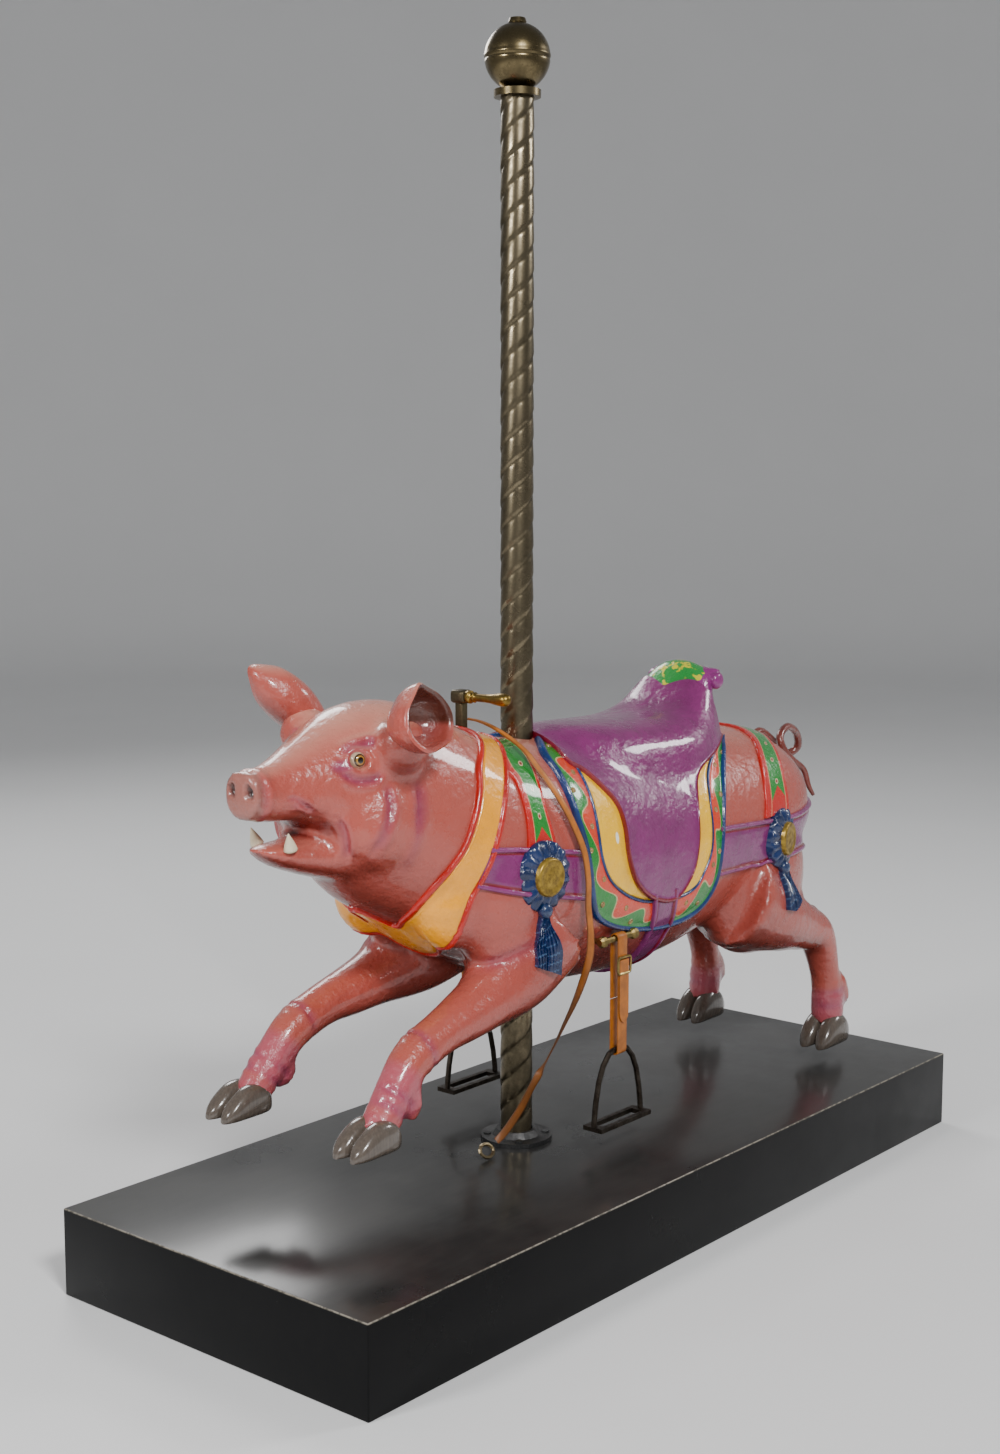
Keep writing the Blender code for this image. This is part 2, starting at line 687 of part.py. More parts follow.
def make_pole():
    foot = FLANGE_THICKNESS + GAP
    bottom = from_pole(0, 0, GAP)
    inner = POLE_RADIUS + GAP
    profile = (
        (0.0, FLANGE_RADIUS),
        (FLANGE_THICKNESS, FLANGE_RADIUS),
        (FLANGE_THICKNESS + 0.001, FLANGE_BOSS_RADIUS + 0.003),
        (FLANGE_BOSS_HEIGHT, FLANGE_BOSS_RADIUS - 0.004),
    )
    flange = turned("pole_flange", profile, bottom, (0, 0, 1), 24)
    for i in range(FLANGE_SCREWS):
        angle = 2 * math.pi * (i + 0.5) / FLANGE_SCREWS
        reach = (FLANGE_RADIUS + FLANGE_BOSS_RADIUS) / 2
        spot = from_pole(reach * math.cos(angle), reach * math.sin(angle), GAP + 0.002)
        head = turned("screw", ((0, SCREW_RADIUS), (foot + SCREW_HEAD - 0.002, SCREW_RADIUS)),
                      spot, (0, 0, 1), 8)
        combine(flange, head, "UNION")
    hole = turned("hole", ((-0.01, inner), (0.03, inner)), bottom, (0, 0, 1), 24)
    combine(flange, hole, "DIFFERENCE")
    neck = BALL_HEIGHT - STAND_HEIGHT - BALL_RADIUS + 0.001
    low = neck - COLLAR_THICKNESS
    turned("pole", ((0, POLE_RADIUS), (low - 2 * GAP, POLE_RADIUS)), bottom, (0, 0, 1), 24)
    profile = [(low, POLE_RADIUS), (low + 0.001, COLLAR_RADIUS), (low + COLLAR_THICKNESS, COLLAR_RADIUS)]
    middle = BALL_HEIGHT - STAND_HEIGHT
    for i in range(2, 9):
        angle = math.pi * i / 10
        profile.append((middle - BALL_RADIUS * math.cos(angle), BALL_RADIUS * math.sin(angle)))
    top = middle + BALL_RADIUS * 0.98
    profile += [(top, BALL_CAP_RADIUS + 0.002), (top + 0.006, BALL_CAP_RADIUS)]
    turned("pole_ball", profile, from_pole(0, 0, 0), (0, 0, 1), 18)


def make_grip(pig):
    x = GRIP_POST_X
    half_x, half_y, half_z = (value / 2 for value in GRIP_BLOCK)
    post = box("grip_post",
               from_pole(x - GRIP_POST_WIDTH / 2, -GRIP_POST_LENGTH / 4, GRIP_POST_FOOT),
               from_pole(x + GRIP_POST_WIDTH / 2, GRIP_POST_LENGTH / 4, GRIP_POST_TOP))
    block = box("block",
                from_pole(x - half_x, -half_y, GRIP_BAR_HEIGHT - half_z),
                from_pole(x + half_x, half_y, GRIP_BAR_HEIGHT + half_z))
    combine(post, block, "UNION")
    socket = box("socket",
                 from_pole(x - GRIP_POST_WIDTH / 2 - GAP, -GRIP_POST_LENGTH / 4 - GAP, GRIP_POST_FOOT - GAP),
                 from_pole(x + GRIP_POST_WIDTH / 2 + GAP, GRIP_POST_LENGTH / 4 + GAP, GRIP_POST_TOP))
    combine(pig, socket, "DIFFERENCE")
    profile = [(distance + GAP, radius) for distance, radius in GRIP_PROFILE]
    turned("grip_handle", profile, from_pole(x, 0, GRIP_BAR_HEIGHT), (0, -1, 0), 12)


def make_stirrups(pig):
    for name, side in (("left", -1), ("right", 1)):
        y = side * BAR_Y
        bar = turned("stirrup_bar_" + name,
                     ((0, BAR_KNOB_RADIUS * 0.6), (0.004, BAR_KNOB_RADIUS), (0.012, BAR_KNOB_RADIUS),
                      (0.016, BAR_RADIUS), (BAR_REAR - BAR_FRONT - 0.016, BAR_RADIUS),
                      (BAR_REAR - BAR_FRONT - 0.012, BAR_KNOB_RADIUS),
                      (BAR_REAR - BAR_FRONT - 0.004, BAR_KNOB_RADIUS),
                      (BAR_REAR - BAR_FRONT, BAR_KNOB_RADIUS * 0.6)),
                     from_pole(BAR_FRONT, y, BAR_HEIGHT), (1, 0, 0), 10)
        for x in (BAR_FRONT + BAR_STEM_INSET, BAR_REAR - BAR_STEM_INSET):
            stem = turned("stem", ((0, BAR_STEM_RADIUS), (BAR_STEM_LENGTH, BAR_STEM_RADIUS)),
                          from_pole(x, y, BAR_HEIGHT), (0, -side, 0), 8)
            combine(bar, stem, "UNION")
        make_leather(name, side)
        make_buckle(name, side)
        make_iron(name, side)
        for x in (BAR_FRONT + BAR_STEM_INSET, BAR_REAR - BAR_STEM_INSET):
            wide = BAR_STEM_RADIUS + GAP * 2
            bore = turned("bore", ((0, wide), (BAR_SOCKET_LENGTH, wide)),
                          from_pole(x, y, BAR_HEIGHT), (0, -side, 0), 8)
            combine(pig, bore, "DIFFERENCE")


def leather_path():
    """The strap seen from the end: out from the bar's middle and height, over the bar and down to
    the iron's eye, there and back."""
    bend = BAR_RADIUS + LEATHER_THICKNESS / 2 + GAP * 2
    path = []
    for i in range(9):
        angle = math.pi * i / 8
        path.append((-bend * math.cos(angle), BAR_HEIGHT + bend * math.sin(angle)))
    path.append((LEATHER_SPREAD, BUCKLE_HEIGHT))
    path.append((LEATHER_SPREAD, IRON_EYE_HEIGHT + 0.02))
    low = IRON_BAR_RADIUS + LEATHER_THICKNESS / 2 + GAP * 2
    for i in range(9):
        angle = math.pi * i / 8
        path.append((low * math.cos(angle), IRON_EYE_HEIGHT - low * math.sin(angle)))
    path.append((-LEATHER_SPREAD, IRON_EYE_HEIGHT + 0.02))
    path.append((-LEATHER_SPREAD, BUCKLE_HEIGHT))
    return path


def make_leather(name, side):
    mesh = bmesh.new()
    path = [Vector(point) for point in leather_path()]
    count = len(path)
    low_x = LEATHER_X - LEATHER_WIDTH / 2
    high_x = LEATHER_X + LEATHER_WIDTH / 2
    loops = []
    for i, point in enumerate(path):
        ahead = (path[(i + 1) % count] - path[i - 1]).normalized()
        out = Vector((ahead.y, -ahead.x)) * (LEATHER_THICKNESS / 2)
        ring = []
        for x, way in ((low_x, 1), (high_x, 1), (high_x, -1), (low_x, -1)):
            spot = point + out * way
            ring.append(mesh.verts.new(from_pole(x, side * (BAR_Y + spot.x), spot.y)))
        loops.append(ring)
    for i in range(count):
        one, two = loops[i], loops[(i + 1) % count]
        for k in range(4):
            j = (k + 1) % 4
            mesh.faces.new((one[k], one[j], two[j], two[k]))
    object_from(mesh, "stirrup_leather_" + name)


def make_buckle(name, side):
    """A square wire frame flat against the outer ply of the leather."""
    y = side * (BAR_Y + LEATHER_SPREAD + LEATHER_THICKNESS / 2 + GAP * 2 + BUCKLE_WIRE)
    half_w, half_l = BUCKLE_WIDTH / 2, BUCKLE_LENGTH / 2
    corner = 0.004
    points = []
    for cx, cz, start in ((half_w, half_l, 0), (-half_w, half_l, 90), (-half_w, -half_l, 180),
                          (half_w, -half_l, 270)):
        for turn in (0, 45, 90):
            angle = math.radians(start + turn)
            px = cx - math.copysign(corner, cx) + corner * math.cos(angle)
            pz = cz - math.copysign(corner, cz) + corner * math.sin(angle)
            points.append(from_pole(LEATHER_X + px, y, BUCKLE_HEIGHT + pz))
    tube("stirrup_buckle_" + name, points, BUCKLE_WIRE, 6, closed=True)


def make_iron(name, side):
    y = side * BAR_Y
    rise = IRON_EYE_HEIGHT - IRON_FOOT_HEIGHT
    points = []
    for sign in (-1, 1):
        arm = []
        for out, up in IRON_SIDE:
            arm.append(from_pole(LEATHER_X + sign * out * IRON_HALF_WIDTH, y, IRON_FOOT_HEIGHT + up * rise))
        points.append(arm)
    arch = list(reversed(points[0])) + points[1]
    iron = tube("stirrup_iron_" + name, arch, IRON_BAR_RADIUS, 8)
    tread = box("tread",
                from_pole(LEATHER_X - IRON_HALF_WIDTH - 0.004, y - IRON_TREAD_DEPTH / 2,
                          IRON_FOOT_HEIGHT - IRON_TREAD_THICKNESS),
                from_pole(LEATHER_X + IRON_HALF_WIDTH + 0.004, y + IRON_TREAD_DEPTH / 2,
                          IRON_FOOT_HEIGHT + 0.001))
    slot = box("slot",
               from_pole(LEATHER_X - IRON_HALF_WIDTH + 0.010, y - IRON_TREAD_DEPTH / 2 + 0.008,
                         IRON_FOOT_HEIGHT - 0.02),
               from_pole(LEATHER_X + IRON_HALF_WIDTH - 0.010, y + IRON_TREAD_DEPTH / 2 - 0.008,
                         IRON_FOOT_HEIGHT + 0.02))
    combine(tread, slot, "DIFFERENCE")
    combine(iron, tread, "UNION")


def smooth_route(route, count):
    """Points at even distances on a smooth curve through the route."""
    rows = [(i, *point) for i, point in enumerate(route)]
    last = len(route) - 1
    fine = [Vector(smooth_between(rows, last * i / 600)[1:]) for i in range(601)]
    lengths = [0.0]
    for one, two in zip(fine, fine[1:]):
        lengths.append(lengths[-1] + (two - one).length)
    found = []
    at = 0
    for i in range(count):
        target = lengths[-1] * i / (count - 1)
        while at < 599 and lengths[at + 1] < target:
            at += 1
        share = (target - lengths[at]) / (lengths[at + 1] - lengths[at])
        found.append(fine[at].lerp(fine[at + 1], share))
    return found


def make_rein():
    curve = bpy.data.curves.new("rein", "CURVE")
    curve.dimensions = "3D"
    curve.bevel_depth = REIN_RADIUS
    curve.bevel_resolution = 2
    curve.use_fill_caps = True
    line = curve.splines.new("POLY")
    points = smooth_route(REIN_ROUTE, REIN_POINTS)
    line.points.add(len(points) - 1)
    for spot, point in zip(line.points, points):
        spot.co = (*from_pole(*point), 1.0)
    rein = bpy.data.objects.new("rein", curve)
    bpy.context.scene.collection.objects.link(rein)
    ring = []
    for k in range(14):
        angle = 2 * math.pi * k / 14
        lean = SNAP_RADIUS * math.sin(angle)
        ring.append(from_pole(SNAP_MIDDLE[0] + 1.3 * SNAP_RADIUS * math.cos(angle),
                              SNAP_MIDDLE[1] + 0.55 * lean, SNAP_MIDDLE[2] + 0.8 * lean))
    tube("rein_snap", ring, SNAP_WIRE, 6, closed=True)


def material(name, colour, roughness, metallic):
    made = bpy.data.materials.new(name)
    made.use_nodes = True
    shader = made.node_tree.nodes["Principled BSDF"]
    shader.inputs["Base Color"].default_value = (*colour, 1.0)
    shader.inputs["Roughness"].default_value = roughness
    shader.inputs["Metallic"].default_value = metallic
    made.diffuse_color = (*colour, 1.0)
    return made


LOOKS = {
    "stand": ("stand_paint", (0.02, 0.02, 0.022), 0.35, 0.0),
    "pole_flange": ("flange_steel", (0.10, 0.10, 0.10), 0.45, 0.9),
    "pole": ("pole_brass", (0.16, 0.14, 0.08), 0.35, 0.9),
    "pole_ball": ("ball_brass", (0.30, 0.25, 0.12), 0.30, 0.9),
    "pig": ("pig_paint", (0.72, 0.36, 0.32), 0.25, 0.0),
    "eye_left": ("eye_glass_left", (0.10, 0.06, 0.02), 0.05, 0.0),
    "eye_right": ("eye_glass_right", (0.10, 0.06, 0.02), 0.05, 0.0),
    "grip_post": ("grip_post_bronze", (0.16, 0.13, 0.07), 0.45, 0.9),
    "grip_handle": ("grip_handle_brass", (0.45, 0.33, 0.10), 0.30, 0.9),
    "rein": ("rein_leather", (0.55, 0.30, 0.12), 0.55, 0.0),
    "rein_snap": ("snap_brass", (0.40, 0.32, 0.18), 0.40, 0.9),
    "stirrup_bar_left": ("bar_left_brass", (0.35, 0.27, 0.12), 0.40, 0.9),
    "stirrup_bar_right": ("bar_right_brass", (0.35, 0.27, 0.12), 0.40, 0.9),
    "stirrup_leather_left": ("leather_left", (0.55, 0.28, 0.09), 0.55, 0.0),
    "stirrup_leather_right": ("leather_right", (0.55, 0.28, 0.09), 0.55, 0.0),
    "stirrup_buckle_left": ("buckle_left_brass", (0.50, 0.38, 0.15), 0.35, 0.9),
    "stirrup_buckle_right": ("buckle_right_brass", (0.50, 0.38, 0.15), 0.35, 0.9),
    "stirrup_iron_left": ("iron_left", (0.06, 0.055, 0.05), 0.45, 0.8),
    "stirrup_iron_right": ("iron_right", (0.06, 0.055, 0.05), 0.45, 0.8),
}


def shade_smooth(item):
    """Smooth shading with sharp edges where faces meet at a clear angle."""
    item.data.shade_smooth()
    item.data.set_sharp_from_angle(angle=math.radians(SHARP_ANGLE))


def main():
    remove_scene_objects()
    pig = make_pig()
    make_eyes()
    make_stand()
    make_pole()
    make_grip(pig)
    make_stirrups(pig)
    make_rein()
    for name, look in LOOKS.items():
        item = bpy.data.objects[name]
        item.data.materials.clear()
        item.data.materials.append(material(*look))
        if item.type == "MESH" and name != "stand":
            shade_smooth(item)


main()
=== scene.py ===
"""Carousel pig on its twisted pole and stand: carved relief, paint, metal, leather and the stage.

Metres, +Z up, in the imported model's frame. The pig faces -X and its left side faces -Y. Places on the
pig are given in centimetres as (along, out, high): along from the pole's axis, out from the middle
and high above the stand's top.
"""

import math

import bpy
import numpy as np
from mathutils import Matrix, Vector
from mathutils.bvhtree import BVHTree


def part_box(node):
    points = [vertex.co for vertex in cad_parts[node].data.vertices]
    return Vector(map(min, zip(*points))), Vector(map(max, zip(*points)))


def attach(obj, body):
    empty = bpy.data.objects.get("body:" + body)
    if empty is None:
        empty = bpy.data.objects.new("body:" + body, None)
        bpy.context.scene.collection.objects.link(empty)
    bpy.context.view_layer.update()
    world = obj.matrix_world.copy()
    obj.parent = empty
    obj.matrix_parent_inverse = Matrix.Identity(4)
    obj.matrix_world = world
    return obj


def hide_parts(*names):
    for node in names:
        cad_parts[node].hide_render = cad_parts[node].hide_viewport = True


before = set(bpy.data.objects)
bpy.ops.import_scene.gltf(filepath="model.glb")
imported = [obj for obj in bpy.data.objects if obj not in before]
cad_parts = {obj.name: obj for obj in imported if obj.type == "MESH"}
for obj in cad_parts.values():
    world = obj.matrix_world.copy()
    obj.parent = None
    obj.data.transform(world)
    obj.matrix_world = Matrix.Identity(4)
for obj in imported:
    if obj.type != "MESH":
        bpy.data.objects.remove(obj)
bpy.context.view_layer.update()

bl_info = {
    "name": "Carousel Pig",
    "version": (1, 0, 0),
    "blender": (4, 5, 0),
    "location": "3D View > Sidebar > Carousel Pig",
    "description": "Carved and painted carousel pig with its harness, pole, fittings and stand",
    "category": "Add Mesh",
}

CM = 0.01
POLE_LOW, POLE_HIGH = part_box("pole")
POLE_X = (POLE_LOW.x + POLE_HIGH.x) / 2
POLE_RADIUS = (POLE_HIGH.x - POLE_LOW.x) / 2
STAND_LOW, STAND_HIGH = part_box("stand")
STAND_TOP = STAND_HIGH.z
# Height over the straight line between two skin points from which the skin is looked for
OVER_SKIN = 0.05

# Slices of the body: along, top, bottom, half width, height of the widest line
BODY_SLICES = (
    (-58.2, 66.0, 59.0, 3.3, 62.5), (-56.4, 65.9, 58.8, 3.4, 62.3), (-53.5, 66.2, 58.2, 3.9, 62.0),
    (-50.5, 67.3, 58.2, 4.9, 61.8), (-47.5, 68.8, 57.0, 6.2, 61.5), (-44.5, 70.4, 52.0, 7.5, 61.0),
    (-41.5, 71.9, 47.5, 8.8, 60.0), (-38.0, 73.0, 44.5, 9.9, 59.0), (-34.0, 73.4, 42.2, 10.9, 56.5),
    (-29.5, 73.0, 39.6, 11.9, 53.5), (-24.5, 71.6, 36.2, 12.8, 51.0), (-19.5, 69.4, 33.6, 13.8, 49.5),
    (-14.5, 67.2, 31.6, 14.6, 48.0), (-9.5, 65.8, 29.4, 15.2, 47.5), (0.3, 64.6, 25.9, 15.8, 46.0),
    (10.3, 63.5, 24.7, 16.0, 45.0), (20.3, 62.5, 24.4, 16.0, 45.0), (30.3, 62.0, 24.9, 15.9, 45.0),
    (40.3, 62.0, 27.0, 15.7, 45.0), (50.3, 61.8, 29.5, 15.4, 46.0), (60.3, 60.6, 33.0, 14.4, 47.0),
    (66.3, 58.2, 36.5, 12.6, 47.0), (70.2, 55.2, 38.5, 10.2, 47.0), (73.8, 51.0, 41.0, 6.8, 46.5),
    (76.0, 47.5, 44.5, 2.5, 46.0),
)
JAW_SLICES = (
    (-55.9, 55.2, 54.6, 1.2, 54.9), (-55.0, 55.3, 53.6, 2.4, 54.5), (-52.7, 55.3, 52.1, 3.4, 53.8),
    (-50.0, 55.4, 51.0, 4.2, 53.4), (-47.0, 55.6, 50.0, 5.2, 53.0), (-43.0, 56.5, 48.8, 6.4, 52.5),
    (-38.0, 57.0, 47.5, 7.8, 52.0),
)
# Limbs: along, out, high, radius
FORELEG = (
    (-8.0, 8.5, 36.0, 9.5), (-13.5, 9.8, 31.5, 7.0), (-20.8, 11.0, 28.8, 4.7), (-26.3, 11.5, 27.4, 3.9),
    (-31.3, 11.9, 26.3, 3.3), (-37.2, 12.0, 24.1, 3.2), (-40.7, 12.2, 21.1, 2.9),
    (-43.6, 12.5, 17.8, 2.8), (-45.8, 12.7, 14.8, 2.9),
)
HIND_LEG = (
    (46.0, 10.0, 33.0, 9.0), (55.0, 12.0, 28.5, 6.5), (63.0, 12.6, 25.5, 4.6), (69.3, 13.0, 22.9, 3.6),
    (72.6, 13.2, 15.0, 2.8), (73.2, 13.5, 8.5, 3.1), (73.0, 13.6, 5.5, 3.0),
)
DEWCLAWS = (
    ((-39.2, 11.4, 20.6, 1.2), (-38.9, 11.2, 17.8, 1.1), (-40.0, 11.2, 15.2, 0.6)),
    ((-39.0, 13.8, 20.6, 1.2), (-38.6, 14.0, 17.8, 1.1), (-39.6, 14.0, 15.2, 0.6)),
    ((74.8, 12.2, 14.5, 1.2), (76.6, 12.0, 11.5, 1.1), (77.6, 12.0, 8.2, 0.6)),
    ((74.8, 14.8, 14.5, 1.2), (76.6, 15.0, 11.5, 1.1), (77.6, 15.0, 8.2, 0.6)),
)
# Swellings of muscle and bone: centre, radii
SWELLINGS = (
    ((-14.5, 9.5, 43.0), (10.0, 6.0, 12.0)),
    ((53.0, 9.3, 35.6), (14.5, 6.6, 13.8)),
    ((-37.0, 6.0, 57.0), (8.0, 5.0, 7.5)),
    ((-36.3, 9.6, 68.0), (4.2, 3.6, 4.0)),
    ((-23.5, 8.0, 43.3), (7.4, 4.4, 6.8)),
)
TAIL = (
    (67.0, 0.4, 52.5, 1.0), (70.0, 1.4, 56.6, 0.9), (73.2, 2.0, 58.2, 0.85), (77.0, 1.4, 56.0, 0.8),
    (80.6, 0.8, 53.5, 0.75), (82.6, -0.4, 54.6, 0.75), (81.2, -0.9, 57.4, 0.75), (77.2, -1.5, 59.0, 0.75),
    (73.6, -2.2, 57.8, 0.7), (73.4, -2.9, 55.6, 0.7), (75.6, -3.5, 53.3, 0.65), (79.0, -4.0, 51.0, 0.6),
    (79.9, -4.6, 48.0, 0.5), (81.0, -5.0, 46.1, 0.35),
)
# Saddle slices: along, top, half width, height of the sides
SADDLE_SLICES = (
    (2.9, 65.4, 4.5, 60.5), (6.0, 66.0, 7.5, 60.0), (12.0, 66.0, 10.5, 59.5), (20.0, 65.7, 11.8, 59.0),
    (28.0, 65.6, 12.2, 59.0), (33.0, 66.0, 12.0, 59.0), (37.0, 67.4, 11.2, 59.0), (40.0, 70.0, 10.0, 59.0),
    (41.9, 72.6, 8.8, 59.5), (43.4, 73.8, 7.9, 60.0), (45.0, 73.9, 7.2, 60.0), (46.2, 73.2, 6.6, 60.5),
)
SCROLL = (46.4, 71.2)
SCROLL_RADIUS = 1.5
SCROLL_HALF_WIDTH = 7.0
SCROLL_ROLL = (45.9, 70.4)
# Ears: middle of the rim, way to the tip, way the hollow faces, half length, half width, depth
EAR_LEFT = ((-37.6, -15.2, 72.3), (-0.15, -0.15, 1.0), (0.15, -0.96, 0.22), 4.7, 5.4, 5.6)
EAR_RIGHT = ((-37.2, 12.4, 72.7), (-0.75, 0.45, 0.78), (0.42, 0.88, -0.02), 7.2, 3.5, 3.6)
EAR_WALL = 0.9

# Harness edges on the pig's left side. Two numbers are along and high; three have out between them.
COLLAR_FRONT = (
    (-37.4, 0.0, 42.6), (-36.5, -1.1, 43.5), (-31.4, -2.6, 40.3), (-32.0, -4.7, 41.5), (-32.3, -8.0, 44.5),
    (-31.2, -10.3, 47.5), (-29.3, -11.6, 50.1), (-27.1, -12.3, 52.9), (-24.9, -12.3, 56.9),
    (-23.3, -11.7, 60.3), (-21.7, -10.3, 63.6), (-17.6, -7.0, 66.3), (-15.4, -3.5, 67.6),
    (-14.8, 0.0, 68.0),
)
COLLAR_REAR = (
    (-20.6, 0.0, 33.3), (-21.6, -3.2, 33.7), (-24.6, -6.0, 36.9), (-25.8, -9.8, 40.7), (-24.9, -11.9, 43.8),
    (-22.9, -13.1, 47.3), (-21.1, -13.4, 50.7), (-19.6, -13.4, 54.2), (-17.7, -12.6, 58.2),
    (-14.8, -10.4, 62.1), (-11.5, -7.0, 65.0), (-9.6, -3.5, 66.3), (-9.0, 0.0, 66.6),
)
BLANKET_OUTER = (
    (0.6, 64.3), (-3.6, 62.9), (-4.1, 60.2), (-4.2, 57.4), (-3.9, 53.7), (-3.1, 49.8), (-2.4, 45.9),
    (-1.5, 41.9), (0.3, 38.4), (3.7, 36.3), (8.8, 34.6), (16.3, 33.2), (22.3, 32.8), (27.6, 33.3),
    (30.9, 34.9), (32.8, 37.9), (33.4, 41.3), (33.9, 45.5), (35.1, 50.2), (38.1, 54.7), (42.1, 58.2),
    (46.6, 60.5),
)
BLANKET_INNER = (
    (1.6, 62.2), (1.7, 60.2), (1.6, 58.8), (1.2, 55.2), (0.9, 50.8), (1.4, 46.9), (3.5, 43.5), (7.6, 40.8),
    (12.4, 39.0), (17.6, 38.2), (22.1, 38.0), (26.7, 38.9), (28.9, 41.5), (30.4, 44.3), (30.9, 48.3),
    (31.5, 52.3), (33.7, 56.0), (38.0, 59.4), (43.8, 61.4),
)
FLAP = (
    (1.4, 64.6), (-0.2, 61.6), (2.1, 59.8), (4.6, 57.0), (6.3, 54.6), (6.8, 51.5), (6.9, 47.7), (7.9, 44.4),
    (9.7, 41.7), (13.2, 39.2), (17.7, 37.7), (21.1, 37.7), (23.3, 39.5), (25.0, 42.1), (25.9, 45.7),
    (26.8, 50.5), (28.6, 54.2), (31.8, 57.0), (36.4, 58.8), (44.0, 61.0),
)
BREAST_STRAP = (
    ((-22.0, 51.9), (-16.0, 51.2), (-10.0, 50.2), (-3.6, 49.2)),
    ((-24.4, 46.2), (-18.0, 44.4), (-10.0, 42.7), (-2.2, 41.2)),
)
REAR_STRAP = (
    ((33.4, -15.8, 47.7), (47.6, -15.4, 47.0), (58.0, -14.6, 46.6), (66.0, -12.8, 47.0),
     (71.5, -9.5, 47.3), (74.8, -5.0, 47.5), (76.0, 0.0, 47.6)),
    ((33.0, -15.8, 39.3), (47.7, -15.4, 39.0), (58.9, -14.5, 39.4), (66.0, -12.5, 39.4),
     (71.0, -9.0, 39.4), (73.5, -5.0, 39.4), (74.5, 0.0, 39.4)),
)
GIRTH = (
    ((14.4, -15.5, 39.6), (16.4, -13.6, 32.0), (17.6, -8.0, 26.6), (18.0, 0.0, 24.4)),
    ((20.9, -15.5, 39.6), (22.4, -13.6, 32.0), (23.2, -8.0, 26.6), (23.4, 0.0, 24.4)),
)
FRONT_RIBBON = (
    ((-14.2, -6.0, 65.6), (-15.6, 62.5), (-14.6, 60.7), (-14.5, 57.9), (-14.6, 55.0), (-15.0, 50.8)),
    ((-6.0, -3.0, 65.0), (-6.3, 64.3), (-8.0, 62.0), (-9.5, 59.0), (-9.9, 55.2), (-9.0, 49.8)),
)
REAR_RIBBON = (
    ((57.0, 0.0, 61.2), (56.0, -5.0, 60.6), (54.1, -9.0, 59.4), (51.1, 56.5), (49.0, 52.7), (47.6, 47.2)),
    ((63.5, 0.0, 59.6), (62.3, -4.5, 59.2), (60.0, -8.5, 58.2), (57.8, 56.0), (56.2, 52.6), (55.8, 47.6)),
)
# Rosettes: centre, turn to the rear in degrees
ROSETTES = (((-12.3, -14.3, 46.5), -4.0), ((53.2, -14.2, 43.0), 12.0))
EYE = (-42.3, 6.3, 66.2)
EYE_RADIUS = 1.35
NOSTRIL = (-58.2, 1.65, 63.1)

# Carved lines on the left side: points, width, depth, how much of the violet shade they hold
CREASES = (
    (((-39.4, 9.2, 63.1), (-39.7, 10.2, 59.3), (-41.7, 9.0, 53.5)), 0.8, 0.35, 0.8),
    (((-34.3, 10.2, 63.2), (-34.3, 10.9, 58.7), (-35.6, 8.2, 50.5)), 0.8, 0.5, 1.0),
    (((-45.7, 6.1, 58.8), (-44.6, 6.6, 56.0), (-44.1, 6.2, 52.6)), 0.6, 0.4, 0.5),
    (((-53.2, 4.0, 62.0), (-51.6, 4.6, 61.5), (-49.4, 4.8, 60.0)), 0.45, 0.3, 0.5),
    (((-52.7, 4.0, 61.0), (-51.0, 4.8, 60.6), (-48.9, 4.9, 59.4)), 0.45, 0.3, 0.5),
    (((-44.6, 6.0, 67.0), (-43.0, 6.6, 68.4), (-39.0, 7.6, 68.4)), 0.7, 0.35, 0.9),
    (((-46.0, 6.2, 65.2), (-43.6, 7.8, 63.6), (-41.0, 8.6, 63.6), (-39.6, 8.6, 64.6)), 0.6, 0.35, 0.9),
    (((-56.6, 0.0, 66.2), (-56.6, 3.4, 62.4), (-56.6, 0.0, 58.6)), 0.7, 0.35, 0.35),
    (((-22.0, 11.0, 33.4), (-15.0, 14.0, 36.0), (-8.0, 15.0, 35.0)), 1.2, 0.5, 0.6),
    (((60.0, 14.0, 30.5), (64.5, 13.5, 29.0), (67.5, 12.0, 30.5)), 1.2, 0.4, 0.6),
)
# Folds round the ankles: middle, axis, radius
ANKLE_RINGS = (
    ((-42.0, 12.35, 19.6), (-0.66, 0.07, -0.75), 2.9), ((-43.4, 12.5, 18.0), (-0.66, 0.07, -0.75), 2.8),
    ((-36.0, 12.0, 24.6), (-0.95, 0.0, -0.3), 3.2),
    ((72.9, 13.3, 12.0), (0.06, 0.0, -1.0), 2.9), ((73.2, 13.5, 9.6), (0.06, 0.0, -1.0), 3.1),
)
# A pale oval painted into the yellow panel
PALE_OVAL = (5.1, -16.2, 49.85)
# Rein: the points of its route, in metres from the pole's axis and the stand's top, and the way its
# flat face looks at each
REIN_ROUTE = (
    (-0.1165, 0.000, 0.6860), (-0.108, -0.014, 0.6830), (-0.101, -0.036, 0.6750), (-0.096, -0.064, 0.6610),
    (-0.096, -0.096, 0.643), (-0.093, -0.115, 0.622), (-0.086, -0.134, 0.597), (-0.076, -0.149, 0.570),
    (-0.063, -0.161, 0.537), (-0.047, -0.170, 0.493), (-0.040, -0.173, 0.448), (-0.033, -0.168, 0.406),
    (-0.027, -0.168, 0.362), (-0.027, -0.165, 0.322), (-0.030, -0.146, 0.265), (-0.034, -0.122, 0.213),
    (-0.042, -0.098, 0.160), (-0.056, -0.080, 0.117), (-0.068, -0.064, 0.077), (-0.084, -0.048, 0.043),
    (-0.094, -0.038, 0.027),
)
